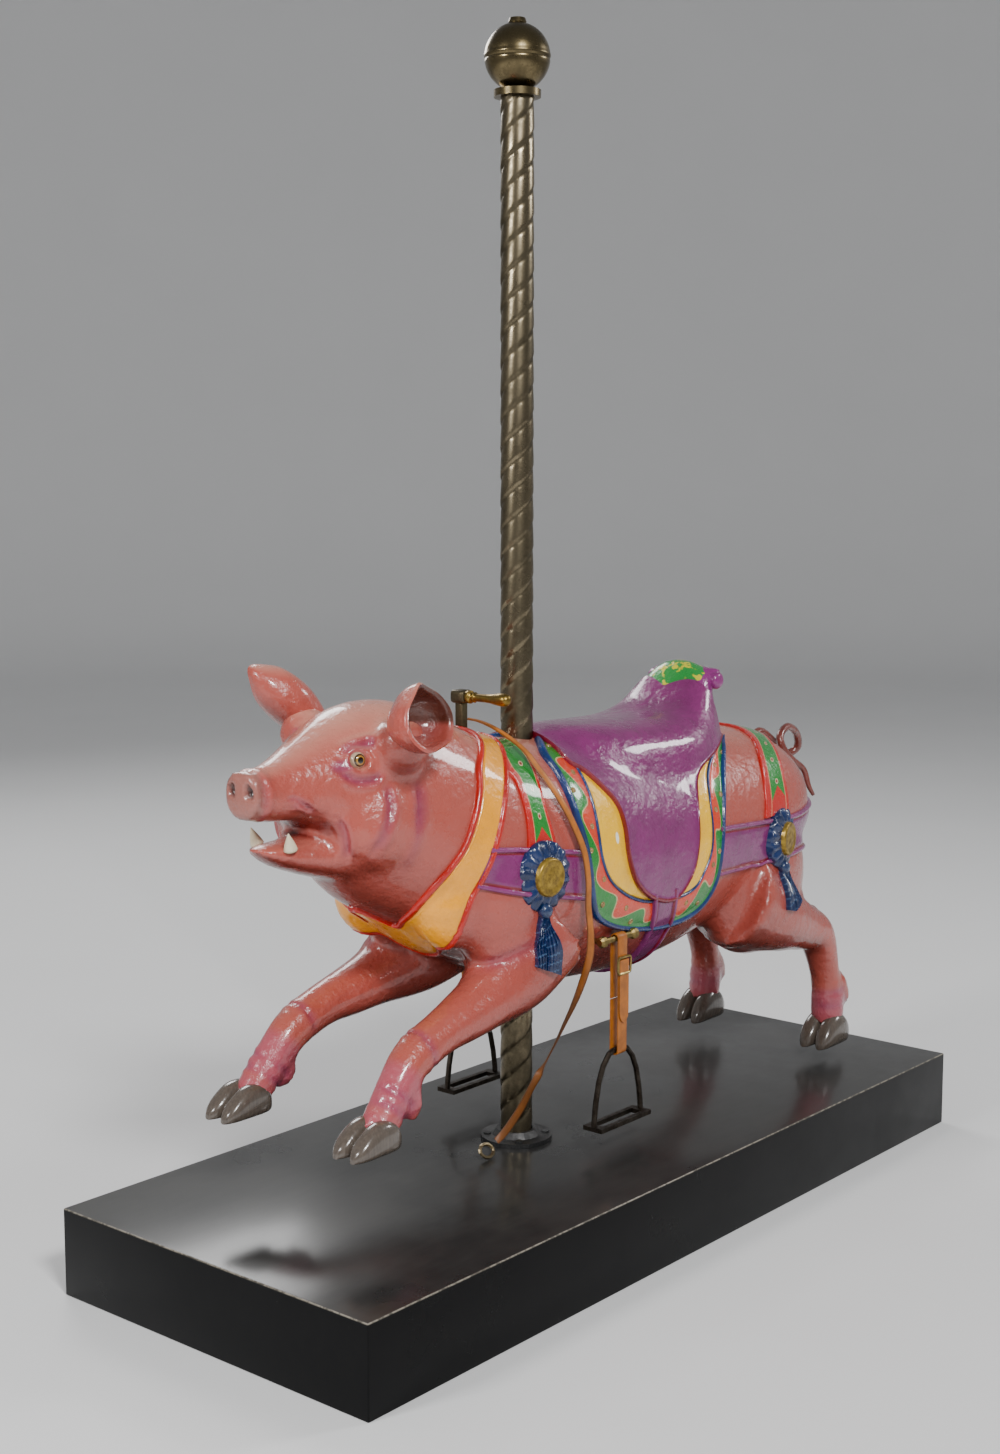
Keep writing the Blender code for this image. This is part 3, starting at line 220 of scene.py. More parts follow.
REIN_FACES = (
    (0, 0, 1), (0, 0, 1), (0, -0.3, 1), (0, -0.5, 1), (0, -0.8, 0.6), (-0.1, -1, 0.4), (-0.1, -1, 0.3),
    (-0.1, -1, 0.2), (-0.1, -1, 0.1), (-0.1, -1, 0.0), (-0.1, -1, 0.0), (-0.2, -1, 0.0), (-0.4, -1, 0.0),
    (-0.9, -0.6, 0.0), (-1, 0.1, 0.1), (-1, 0.9, 0.1), (-0.6, 1, 0.2), (-0.3, -1, 0.3), (-0.4, -1, 0.5),
    (-0.5, -1, 0.8), (-0.3, -0.6, 1),
)
REIN_WIDTH = 0.012
REIN_THICKNESS = 0.0026
# Toes: slices from the tip to the heel as in the body, without their place out; then that place
FORE_TOE = (
    (-52.1, 14.0, 13.1, 0.5, 13.5), (-51.2, 15.2, 13.05, 1.25, 13.9), (-49.6, 16.6, 13.0, 1.6, 14.2),
    (-47.6, 17.6, 13.0, 1.7, 14.6), (-45.4, 17.6, 13.0, 1.65, 14.8), (-43.8, 16.6, 13.1, 1.3, 14.6),
    (-43.0, 15.0, 13.6, 0.5, 14.2),
)
HIND_TOE = (
    (67.4, 2.9, 1.95, 0.5, 2.4), (68.3, 4.6, 1.9, 1.3, 3.0), (70.0, 6.6, 1.9, 1.7, 3.6),
    (72.2, 7.7, 1.9, 1.8, 4.2), (74.4, 7.4, 1.9, 1.7, 4.2), (76.0, 6.0, 1.95, 1.3, 3.8),
    (76.7, 4.6, 2.4, 0.5, 3.4),
)
TOES = ((FORE_TOE, 11.25), (FORE_TOE, 14.5), (HIND_TOE, 12.05), (HIND_TOE, 15.3))
# Tusks: foot, tip, radius at the foot
TUSKS = (((-52.0, 3.3, 54.7), (-52.8, 3.7, 57.1), 0.95),)
# Carved edges across: distance from the edge, height over the skin. The spans between two edges:
# share of the way, height
ROPE = ((-0.2, 0.1), (-0.12, 0.5), (0.15, 0.82), (0.5, 0.93), (0.85, 0.80), (1.05, 0.5))
RIDGE = ((0.0, 0.15), (0.02, 0.42), (0.2, 0.60), (0.42, 0.64), (0.62, 0.55), (0.72, 0.38))
BELT_EDGE = ((0.0, 0.1), (0.03, 0.5), (0.22, 0.68), (0.5, 0.70), (0.72, 0.60), (0.80, 0.34), (0.96, 0.30))
COLLAR_EDGE = ((0.0, 0.05), (0.04, 0.4), (0.3, 0.62), (0.62, 0.66), (0.9, 0.56), (1.0, 0.30), (1.12, 0.28))
THIN_EDGE = ((0.0, 0.1), (0.03, 0.36), (0.2, 0.46))
FLAP_EDGE = ((0.0, 0.2), (0.0, 0.8), (0.12, 1.05), (0.35, 1.18), (0.55, 1.12), (0.68, 0.98))
FLAT = tuple((share, 0.42) for share in np.linspace(0.04, 0.96, 9))
COLLAR_SPAN = tuple((share, 0.46) for share in np.linspace(0.03, 0.97, 18))
BORDER_SPAN = tuple((share, 0.42 + 0.12 * math.sin(math.pi * share))
                    for share in np.linspace(0.03, 0.97, 7))
PANEL_INNER = tuple((along + 0.4 * (1 if along < 15 else -1), high + 0.6) for along, high in FLAP)
# Ribbon tails under the rosettes: their two edges
TAIL_RIBBONS = (
    (((-13.4, 40.9), (-13.9, 39.0), (-14.6, 36.0), (-15.0, 33.4)),
     ((-12.5, 40.9), (-12.6, 39.0), (-12.9, 36.0), (-13.2, 32.6))),
    (((-13.1, 40.9), (-13.2, 39.0), (-13.3, 36.0), (-13.5, 32.8)),
     ((-12.2, 40.9), (-11.8, 39.0), (-11.1, 36.0), (-10.8, 31.8))),
    (((51.8, 37.6), (51.4, 36.0), (50.8, 33.4), (50.4, 31.2)),
     ((52.9, 37.6), (53.0, 36.0), (52.9, 33.4), (52.8, 30.6))),
    (((52.3, 37.6), (52.4, 36.0), (52.5, 33.4), (52.5, 30.8)),
     ((53.6, 37.6), (54.0, 36.0), (54.7, 33.4), (55.2, 31.6))),
)
# Knots over the ribbon tails: along, high
KNOTS = ((-12.7, 41.4), (52.7, 38.0))
# Blanket border: length of a lobe of its wave, and where along it the wave starts
LOBE = 4.5
LOBE_START = 0.6
# Distance between a prize ribbon's dots
DOT_STEP = 4.2
# Part of the skin that is smoothed into the seat, along and in height, part of it that has the
# saddle's paint, and the height of the axis that the saddle's flap is laid round
SEAT_ALONG = (0.0, 44.0)
SEAT_HIGH = (54.0, 68.0)
SADDLE_ALONG = (0.5, 49.5)
SADDLE_CENTRE = 45.0
# Where the head's finer faces end, where the snout's disc starts, and the mouth's middle and corner
HEAD_END = -36.0
SNOUT_START = -56.2
MOUTH_HIGH = 56.9
MOUTH_END = -43.5
# Leaf on the saddle's back: centre, radii. Redder bands on the legs: centre, radius
LEAF = ((41.6, 0.0, 73.4), (5.4, 8.2, 4.6))
BANDS = (((-41.5, 12.3, 20.0), 5.44), ((-45.0, 12.6, 16.2), 3.52), ((73.2, 13.5, 9.0), 4.8))
# Distance from a carved line beyond which it does nothing
LINE_REACH = 14.0
FAR = 1e9
# Turned pieces: distance along the axis and radius, in metres
BOSS = ((0.0, 0.0050), (0.0050, 0.0050), (0.0062, 0.0042), (0.0058, 0.0028), (0.0050, 0.0020),
        (0.0058, 0.0012))
KNOT = ((0.0, 0.010), (0.006, 0.0125), (0.011, 0.0115), (0.0145, 0.008), (0.0160, 0.003))
# Rosette from its rim to its middle: radius, height, share of the pleats' depth
ROSETTE = (
    (5.2, -2.4, 0.0), (5.3, 0.3, 0.0), (5.25, 0.75, 1.0), (4.8, 1.0, 1.0), (4.1, 1.25, 1.0),
    (3.5, 1.35, 0.8), (3.05, 1.25, 0.3), (2.95, 1.25, 0.0), (2.90, 1.75, 0.0), (2.70, 1.98, 0.0),
    (2.30, 2.02, 0.0), (2.05, 1.88, 0.0), (1.2, 2.0, 0.0), (0.3, 2.05, 0.0),
)
ROSETTE_PLEATS = 14
# Row of the rosette's table where its gilt disc starts
DISC_RING = 7
# Pole: faces round it and rings along it, how far it stays inside the solid, the share of a rib's
# width that its edge groove takes, and the weights of the hollow between ribs and of that groove
POLE_SIDES = 72
POLE_RINGS = 420
POLE_INSET = 0.0002
RIB_GROOVE = 0.10
RIB_WEIGHTS = (0.55, 0.45)
# Ball on the pole: its middle over the solid's, its collar and cap as height from the solid's foot
# or top and radius, and its ridge and groove as height from the middle, reach and spread
BALL_RISE = 0.0015
BALL_COLLAR = ((0.0, POLE_RADIUS), (0.0008, 0.0355), (0.0112, 0.0358))
BALL_START = 0.012
BALL_CAP = ((-0.006, 0.0138), (-0.0004, 0.0118))
BALL_LINES = ((0.002, 0.0010, 0.0016), (-0.003, -0.0012, 0.0014))
# Grip's post: half width and half depth of its stem, height of its head
GRIP_STEM = (0.007, 0.0075)
GRIP_HEAD = 0.020
# Saddle's scroll from its end inwards: distance, radius
SCROLL_END = ((0.0, 0.45), (0.06, 0.9), (0.30, 1.28), (0.75, SCROLL_RADIUS))
# Turned grip: share of its length, share of its largest radius
GRIP_SHAPE = (
    (0.0, 0.93), (0.03, 0.99), (0.07, 0.97), (0.10, 0.62), (0.14, 0.60), (0.17, 0.80), (0.21, 0.62),
    (0.35, 0.60), (0.52, 0.66), (0.68, 0.84), (0.82, 0.98), (0.92, 0.90), (0.975, 0.58), (0.995, 0.20),
)
STRAP_THICKNESS = 0.0028
# Free end of the stirrup strap: height over the strap's foot, share of its width
STRAP_END = ((0.052, 0.06), (0.056, 0.55), (0.062, 0.86), (0.070, 0.96), (0.150, 0.96), (0.153, 0.90))
# Camera's place in metres and its turns, and its lens and sensor in millimetres
CAMERA_PLACE = (-2.4348, -1.9272, 1.1718)
CAMERA_TILT = -0.1245
CAMERA_TURN = -0.8715
CAMERA_LENS = 48.40
CAMERA_SENSOR = 36.0
# Lamps: name, place, what it points at, width in metres, share of the power
LAMPS = (
    ("key_softbox", (-2.3, -3.4, 3.6), (0.0, 0.0, 0.7), 0.9, 1.0),
    ("left_softbox", (-4.2, 0.6, 2.6), (0.0, 0.0, 0.8), 0.8, 0.48),
    ("right_softbox", (3.2, -2.2, 2.8), (0.1, 0.0, 0.7), 0.9, 0.28),
    ("back_softbox", (1.5, 3.6, 3.2), (0.0, 0.0, 0.8), 1.6, 0.32),
)
# Floor: radius in metres, and the steps of its rising edge, each with its height and spread
FLOOR_RADIUS = 9.0
FLOOR_STEPS = ((0.10, 1.07), (0.35, 1.05), (0.9, 1.03), (6.0, 1.0))
SKY_COLOUR = (0.95, 0.97, 1.0, 1.0)
SKY_STRENGTH = 0.22


class CarouselPigLooks(bpy.types.PropertyGroup):
    """Colours that a user of the carousel pig may change."""

    skin: bpy.props.FloatVectorProperty(
        name="Skin", description="Salmon paint of the pig's flanks", subtype="COLOR", size=3,
        min=0.0, max=1.0, default=(0.43, 0.082, 0.060))
    # Crown: pale colour laid where faces look up, high on the pig, a painted highlight
    crown: bpy.props.FloatVectorProperty(
        name="Crown", description="Pale paint on the head's crown and along the back", subtype="COLOR",
        size=3, min=0.0, max=1.0, default=(0.60, 0.26, 0.19))
    # Shade: brown laid on faces that look down and in a band low on the body, a painted shade
    shade: bpy.props.FloatVectorProperty(
        name="Shade", description="Brown painted_shade under the belly and inside the legs", subtype="COLOR",
        size=3, min=0.0, max=1.0, default=(0.12, 0.012, 0.006))
    # Violet: paint along the carved folds that also stands as painted shade in them
    violet: bpy.props.FloatVectorProperty(
        name="Violet", description="Violet sprayed along the carved folds", subtype="COLOR", size=3,
        min=0.0, max=1.0, default=(0.20, 0.018, 0.10))
    saddle: bpy.props.FloatVectorProperty(
        name="Saddle", description="Orchid purple of the saddle and straps", subtype="COLOR", size=3,
        min=0.0, max=1.0, default=(0.24, 0.022, 0.17))
    leather: bpy.props.FloatVectorProperty(
        name="Leather", description="Tan of the rein and stirrup straps", subtype="COLOR", size=3,
        min=0.0, max=1.0, default=(0.46, 0.14, 0.014))


class CarouselPigSizes(bpy.types.PropertyGroup):
    """Sizes that a user of the carousel pig may change."""

    grain: bpy.props.FloatProperty(
        name="Mesh grain", description="Size of the body's mesh faces", unit="LENGTH", min=0.004,
        max=0.02, default=0.0088)
    twist: bpy.props.FloatProperty(
        name="Twist", description="Height of one turn of the pole's ribs", unit="LENGTH", min=0.05,
        max=0.5, default=0.125)
    ribs: bpy.props.IntProperty(
        name="Ribs", description="Ribs that wind round the pole", min=1, max=8, default=3)
    rib_depth: bpy.props.FloatProperty(
        name="Rib depth", description="Depth of the grooves between the pole's ribs", unit="LENGTH",
        min=0.0, max=0.004, default=0.0030)
    light: bpy.props.FloatProperty(
        name="Light", description="Power of the main lamp in watts", min=1.0, max=5000.0, default=200.0)


def looks():
    """The colours chosen in the panel."""
    return bpy.context.scene.carousel_pig_looks


def sizes():
    """The sizes chosen in the panel."""
    return bpy.context.scene.carousel_pig_sizes


def pig_point(along, out, high):
    """A point of the carving, in metres."""
    return Vector((POLE_X + along * CM, out * CM, STAND_TOP + high * CM))


def from_pole(x, y, z):
    """A point given in metres from the pole's axis and the stand's top."""
    return Vector((POLE_X + x, y, STAND_TOP + z))


def to_carving(points):
    """Points in metres as (along, out, high) in centimetres."""
    return (points - np.array((POLE_X, 0.0, STAND_TOP))) / CM


def smooth_between(table, place):
    """The row of a table at this value of its first column, on a smooth curve through the rows."""
    last = len(table) - 1
    place = min(max(place, table[0][0]), table[last][0])
    low = max(i for i in range(last) if table[i][0] <= place)
    rows = [table[max(0, min(last, low + step))] for step in (-1, 0, 1, 2)]
    x0, x1, x2, x3 = (row[0] for row in rows)
    s = (place - x1) / (x2 - x1)
    t = s * s
    found = [place]
    for v0, v1, v2, v3 in list(zip(*rows))[1:]:
        slope_1 = (v2 - v0) / (x2 - x0) * (x2 - x1)
        slope_2 = (v3 - v1) / (x3 - x1) * (x2 - x1)
        found.append((2 * s * t - 3 * t + 1) * v1 + (s * t - 2 * t + s) * slope_1
                     + (3 * t - 2 * s * t) * v2 + (s * t - t) * slope_2)
    return found


def even_points(route, count):
    """Points at even distances on a smooth curve through a route of any number of columns."""
    rows = [(i, *point) for i, point in enumerate(route)]
    fine = np.array([smooth_between(rows, (len(route) - 1) * i / 800)[1:] for i in range(801)])
    run = np.concatenate(([0.0], np.cumsum(np.linalg.norm(np.diff(fine[:, :3], axis=0), axis=1))))
    places = np.linspace(0.0, run[-1], count)
    return np.stack([np.interp(places, run, column) for column in fine.T], axis=1)


def run_along(points):
    """How far each point is from the first along their line, in centimetres."""
    run = [0.0]
    for one, two in zip(points, points[1:]):
        run.append(run[-1] + (two - one).length / CM)
    return run


def circle(count):
    """Cosine and sine of even turns."""
    turns = [2 * math.pi * k / count for k in range(count)]
    return [(math.cos(turn), math.sin(turn)) for turn in turns]


def deselect():
    """Leaves edit mode, with nothing selected."""
    if bpy.context.mode != "OBJECT":
        bpy.ops.object.mode_set(mode="OBJECT")
    bpy.ops.object.select_all(action="DESELECT")


def select(*items):
    """Selects only these, the first one active."""
    deselect()
    for item in items:
        item.select_set(True)
    bpy.context.view_layer.objects.active = items[0]
    return items[0]


def added(name):
    """Names the piece that an operator has just added, and puts its place into its mesh."""
    item = bpy.context.object
    item.name = name
    item.data.name = name
    bpy.ops.object.transform_apply(location=True, rotation=True, scale=True)
    return item


def in_scene(name, data):
    """A new object in the scene."""
    item = bpy.data.objects.new(name, data)
    bpy.context.scene.collection.objects.link(item)
    return item


def mesh_piece(name, points, faces):
    """An object from computed points and faces."""
    data = bpy.data.meshes.new(name)
    data.from_pydata([tuple(point) for point in points], [], faces)
    return in_scene(name, data)


def modify(item, kind, **settings):
    """Adds a modifier and applies it."""
    select(item)
    step = item.modifiers.new(kind.lower(), kind)
    for key, value in settings.items():
        setattr(step, key, value)
    bpy.ops.object.modifier_apply(modifier=step.name)
    return item


def outward(item):
    """Turns the face directions outwards."""
    select(item)
    bpy.ops.object.mode_set(mode="EDIT")
    bpy.ops.mesh.select_all(action="SELECT")
    bpy.ops.mesh.normals_make_consistent(inside=False)
    bpy.ops.object.mode_set(mode="OBJECT")
    return item


def join(name, *items):
    """Joins pieces into the first one."""
    select(*items)
    bpy.ops.object.join()
    items[0].name = name
    items[0].data.name = name
    return items[0]


def smooth_shaded(item, angle=35.0):
    """Smooth shading over edges up to an angle in degrees."""
    select(item)
    bpy.ops.object.shade_smooth_by_angle(angle=math.radians(angle))
    return item


def lofted(name, rings, closed=False):
    """A closed skin over rings with the same number of points; closed joins the last ring to the first."""
    count = len(rings[0])
    points = [point for ring in rings for point in ring]
    faces = []
    for i in range(len(rings) - (0 if closed else 1)):
        j = (i + 1) % len(rings)
        for k in range(count):
            n = (k + 1) % count
            faces.append((i * count + k, i * count + n, j * count + n, j * count + k))
    if not closed:
        faces.append(tuple(reversed(range(count))))
        faces.append(tuple((len(rings) - 1) * count + k for k in range(count)))
    return outward(mesh_piece(name, points, faces))


def slice_rings(table, steps, count, squareness=2.15):
    """Rings through a table of slices, from round to boxy."""
    rings = []
    for i in range(steps + 1):
        place = table[0][0] + (table[-1][0] - table[0][0]) * i / steps
        along, top, bottom, half, middle = smooth_between(table, place)
        ring = []
        for k in range(count):
            c, s = math.cos(2 * math.pi * k / count), math.sin(2 * math.pi * k / count)
            reach = (top - middle) if s > 0 else (middle - bottom)
            ring.append(pig_point(along, half * math.copysign(abs(c) ** (2 / squareness), c),
                                  middle + reach * math.copysign(abs(s) ** (2 / squareness), s)))
        rings.append(ring)
    return rings


def limb(name, table, side, steps, count):
    """A limb as a curve with its own radius at each point, made a mesh."""
    rows = [(i, *row) for i, row in enumerate(table)]
    data = bpy.data.curves.new(name, "CURVE")
    data.dimensions = "3D"
    data.bevel_depth = 1.0
    data.bevel_resolution = count // 4 - 1
    data.use_fill_caps = True
    line = data.splines.new("POLY")
    line.points.add(steps)
    for i, spot in enumerate(line.points):
        _, along, out, high, radius = smooth_between(rows, (len(rows) - 1) * i / steps)
        spot.co = (*pig_point(along, side * out, high), 1.0)
        spot.radius = radius * CM
    select(in_scene(name, data))
    bpy.ops.object.convert(target="MESH")
    return bpy.context.object


def swelling(name, centre, radii, side=1):
    """An ellipsoid of muscle or bone."""
    deselect()
    along, out, high = centre
    bpy.ops.mesh.primitive_uv_sphere_add(segments=32, ring_count=16, radius=CM,
                                         location=pig_point(along, side * out, high), scale=radii)
    return added(name)


def saddle_rings():
    """Rings of the saddle's seat, with a foot that sinks into the body."""
    rings = []
    first, last = SADDLE_SLICES[0][0], SADDLE_SLICES[-1][0]
    for i in range(41):
        along, top, half, shoulder = smooth_between(SADDLE_SLICES, first + (last - first) * i / 40)
        ring = []
        for k in range(33):
            c, s = math.cos(math.pi * k / 32), math.sin(math.pi * k / 32)
            out = half * math.copysign(abs(c) ** 0.8, c)
            ring.append(pig_point(along, out, shoulder + (top - shoulder) * max(s, 0.0) ** 0.8))
        for out in (-0.6, -0.2, 0.2, 0.6):
            ring.append(pig_point(along, out * half, shoulder - 6.0))
        rings.append(ring)
    return rings


class Skin:
    """The surface of the carved body, for laying the harness on it."""

    def __init__(self, item):
        mesh = item.data
        self.points = at_points(mesh, "co")
        self.normals = np.array([v.normal for v in mesh.vertices])
        self.faces = [tuple(face.vertices) for face in mesh.polygons]
        self.tree = BVHTree.FromPolygons([tuple(p) for p in self.points], self.faces)

    def normal(self, spot, index):
        """The skin's direction at a point of a face, blended from its corners."""
        corners = list(self.faces[index])
        weights = 1.0 / (np.linalg.norm(self.points[corners] - np.array(spot), axis=1) + 1e-4)
        blended = (self.normals[corners] * weights[:, None]).sum(axis=0)
        return Vector(blended).normalized()

    def nearest(self, point):
        """The skin's point nearest to a point, and its direction."""
        spot, _, index, _ = self.tree.find_nearest(point)
        return spot, self.normal(spot, index)

    def from_side(self, along, high):
        """Where a line straight across the pig meets its left side."""
        start = pig_point(along, -40.0, high)
        spot, _, index, _ = self.tree.ray_cast(start, Vector((0, 1, 0)))
        if spot is None:
            return self.nearest(pig_point(along, -8.0, high))
        return spot, self.normal(spot, index)

    def around(self, along, turn, middle=SADDLE_CENTRE):
        """Where a line towards the body's axis meets the skin; turn is 0 at the left and 90 on top."""
        way = Vector((0, -math.cos(math.radians(turn)), math.sin(math.radians(turn))))
        centre = pig_point(along, 0.0, middle)
        spot, _, index, _ = self.tree.ray_cast(centre + way * 0.45, -way)
        if spot is None:
            return self.nearest(centre + way * 0.15)
        return spot, self.normal(spot, index)

    def between(self, one, two, share):
        """The skin's point over the straight line between two of its points."""
        spot = one.lerp(two, share)
        way = self.nearest(one)[1].lerp(self.nearest(two)[1], share).normalized()
        hit, _, index, _ = self.tree.ray_cast(spot + way * OVER_SKIN, -way)
        if hit is None or self.normal(hit, index).dot(way) < 0.2:
            return self.nearest(spot)
        return hit, self.normal(hit, index)

    def edge(self, points, count):
        """A listed harness edge, as evenly spaced points on the skin."""
        spots = []
        for point in points:
            spots.append(self.from_side(*point)[0] if len(point) == 2 else pig_point(*point))
        return [self.nearest(Vector(spot))[0] for spot in even_points(spots, count)]


def mapped(item, run, across):
    """Gives a piece made of rows its own map: the place along and across of each point."""
    layer = item.data.uv_layers.new(name="lay")
    for corner, place in zip(item.data.loops, layer.data):
        row, column = divmod(corner.vertex_index, len(across))
        place.uv = (run[row], across[column])
    return item


def grid_piece(name, rows, marks, run, across):
    """A harness piece from rows of points across it, with its face kinds from marks, closed
    underneath. Its own map has the place along it in centimetres and the place across it."""
    count = len(rows[0])
    points = [point for row in rows for point in row]
    faces, kinds = [], []
    for i in range(len(rows) - 1):
        for k in range(count - 1):
            faces.append((i * count + k, i * count + k + 1, (i + 1) * count + k + 1, (i + 1) * count + k))
            kinds.append(marks[k])
        faces.append((i * count + count - 1, i * count, (i + 1) * count, (i + 1) * count + count - 1))
        kinds.append(marks[0])
    faces.append(tuple(reversed(range(count))))
    faces.append(tuple((len(rows) - 1) * count + k for k in range(count)))
    kinds += [marks[0], marks[0]]
    item = mesh_piece(name, points, faces)
    outward(mapped(item, run, across))
    item.data.polygons.foreach_set("material_index", kinds)
    return item


def laid_strip(name, skin, edge_a, edge_b, count, profile_a, profile_b, middle, marks, lift=None,
               foot=-0.35):
    """A strip between two edges. A profile is rows of distance from its edge and height, in
    centimetres; middle is rows of share and height between the two profiles; marks is pairs of a
    face kind and how many faces across have it; lift adds height by the share along."""
    line_a, line_b = skin.edge(edge_a, count), skin.edge(edge_b, count)
    middles = [(a + b) / 2 for a, b in zip(line_a, line_b)]
    run = run_along(middles)
    rows = []
    for place, a, b in zip(np.linspace(0.0, 1.0, count), line_a, line_b):
        width = (b - a).length / CM
        extra = float(np.interp(place, *zip(*lift))) if lift else 0.0
        spots = [(d / width, h) for d, h in profile_a]
        low, high = spots[-1][0], 1.0 - profile_b[-1][0] / width
        spots += [(low + (high - low) * share, h) for share, h in middle]
        spots += [(1.0 - d / width, h) for d, h in reversed(profile_b)]
        row = []
        for share, height in spots:
            spot, normal = skin.between(a, b, share)
            row.append(spot + normal * ((height + extra) * CM))
        first, last = skin.nearest(row[0]), skin.nearest(row[-1])
        row = [first[0] + first[1] * (foot * CM)] + row + [last[0] + last[1] * (foot * CM)]
        rows.append(row)
    across = [0.0] * (len(profile_a) + 1) + [share for share, _ in middle] + [1.0] * (len(profile_b) + 1)
    kinds = [kind for kind, faces in marks for _ in range(faces)]
    return grid_piece(name, rows, kinds, run, across)


def mirrored(item):
    """Adds the right side's copy of a left side piece."""
    select(item)
    bpy.ops.object.duplicate()
    other = bpy.context.object
    other.data.transform(Matrix.Scale(-1.0, 4, (0, 1, 0)))
    other.data.flip_normals()
    return join(item.name, item, other)


class Value:
    """A socket of a finish's node tree that takes part in sums as a number does."""

    def __init__(self, finish, socket):
        self.finish = finish
        self.socket = socket

    def maths(self, operation, *values):
        """Sums with numbers."""
        return self.finish.maths(operation, *values)

    def __add__(self, other):
        return self.maths("ADD", self, other)

    def __radd__(self, other):
        return self.maths("ADD", other, self)

    def __sub__(self, other):
        return self.maths("SUBTRACT", self, other)

    def __rsub__(self, other):
        return self.maths("SUBTRACT", other, self)

    def __mul__(self, other):
        return self.maths("MULTIPLY", self, other)

    def __rmul__(self, other):
        return self.maths("MULTIPLY", other, self)

    def __truediv__(self, other):
        return self.maths("DIVIDE", self, other)


class Finish:
    """A material and the nodes that make it."""

    def __init__(self, name):
        self.material = bpy.data.materials.new(name)
        self.material.use_nodes = True
        self.tree = self.material.node_tree
        self.shader = self.tree.nodes["Principled BSDF"]
        self.kept = {}

    def node(self, kind, settings=None, inputs=None, output=0):
        """Adds a node, fills it and returns one output."""
        made = self.tree.nodes.new(kind)
        for key, value in (settings or {}).items():
            setattr(made, key, value)
        for key, value in (inputs or {}).items():
            self.feed(made.inputs[key], value)
        return Value(self, made.outputs[output])

    def feed(self, socket, value):
        """Links a value to a socket, or sets its constant."""
        if isinstance(value, Value):
            self.tree.links.new(value.socket, socket)
        elif hasattr(value, "__len__") and socket.type == "RGBA":
            socket.default_value = (*tuple(value)[:3], 1.0)
        else:
            socket.default_value = value

    def maths(self, operation, *values):
        """Sums with numbers."""
        return self.node("ShaderNodeMath", {"operation": operation}, dict(enumerate(values)))

    def vector(self, operation, *values, output=0):
        """Sums with vectors."""
        return self.node("ShaderNodeVectorMath", {"operation": operation}, dict(enumerate(values)), output)

    def combined(self, *values):
        """A vector from its parts."""
        return self.node("ShaderNodeCombineXYZ", inputs=dict(enumerate(values)))

    def upward(self):
        """How much the surface looks up, from -1 to 1."""
        normal = self.node("ShaderNodeNewGeometry", output="Normal")
        return self.node("ShaderNodeSeparateXYZ", inputs={0: normal}, output="Z")

    def place(self):
        """Object coordinates."""
        if "place" not in self.kept:
            self.kept["place"] = self.node("ShaderNodeTexCoord", output="Object")
        return self.kept["place"]

    def axis(self, name):
        """One of the object coordinates."""
        if "axes" not in self.kept:
            self.kept["axes"] = self.node("ShaderNodeSeparateXYZ", inputs={0: self.place()})
        return Value(self, self.kept["axes"].socket.node.outputs[name])

    def lay(self, name):
        """X runs along a harness piece in centimetres, and Y across it from 0 to 1."""
        if "lay" not in self.kept:
            spot = self.node("ShaderNodeUVMap", {"uv_map": "lay"})
            self.kept["lay"] = self.node("ShaderNodeSeparateXYZ", inputs={0: spot})
        return Value(self, self.kept["lay"].socket.node.outputs[name])

    def painted(self, name):
        """A number that the mesh carries at its points."""
        return self.node("ShaderNodeAttribute", {"attribute_name": name}, output="Fac")

    def mix(self, share, one, two):
        """One colour turned into another by a share."""
        return self.node("ShaderNodeMix", {"data_type": "RGBA"}, {0: share, 6: one, 7: two}, output=2)

    def noise(self, scale, detail=3.0, roughness=0.5, vector=None):
        """Cloudy noise from 0 to 1."""
        return self.node("ShaderNodeTexNoise", inputs={
            "Vector": vector or self.place(), "Scale": scale, "Detail": detail, "Roughness": roughness})

    def rise(self, value, low, high):
        """0 below low, 1 above high and smooth between."""
        return self.node("ShaderNodeMapRange", {"interpolation_type": "SMOOTHSTEP"},
                         {"Value": value, "From Min": low, "From Max": high})

    def bump(self, height, strength, distance=0.001):
        """A fine relief for the normal."""
        return self.node("ShaderNodeBump", inputs={
            "Height": height, "Strength": strength, "Distance": distance})

    def stretched(self, x, y, z):
        """Object coordinates scaled by their own number along each axis."""
        return self.vector("MULTIPLY", self.place(), (x, y, z))

    def finish(self, **sockets):
        """Feeds the shader: colour, rough, metal and normal, and the constants of the coat."""
        names = {"colour": "Base Color", "rough": "Roughness", "metal": "Metallic", "normal": "Normal",
                 "coat": "Coat Weight", "coat_rough": "Coat Roughness", "specular": "Specular IOR Level"}
        for key, value in sockets.items():
            self.feed(self.shader.inputs[names[key]], value)
        return self.material


def times(colour, factor):
    """A lighter or darker colour."""
    return tuple(min(1.0, part * factor) for part in colour)


def varnished(finish, colour, relief=1.0, rough=0.28):
    """Glossy oil paint under varnish, with the unevenness of a brushed and carved surface."""
    lumps = finish.noise(95.0, 3.0, 0.55)
    broad = finish.noise(34.0, 2.0, 0.5)
    fine = finish.noise(420.0, 2.0, 0.5)
    height = lumps * 0.8 + fine * 0.22 + broad * 1.5
    streaks = finish.noise(30.0, 4.0, 0.6)
    return finish.finish(
        colour=colour,
        rough=finish.rise(streaks, 0.2, 0.9) * 0.14 + (rough - 0.05),
        normal=finish.bump(height, 0.62 * relief, 0.0034),
        coat=0.6, coat_rough=0.06, specular=0.5)


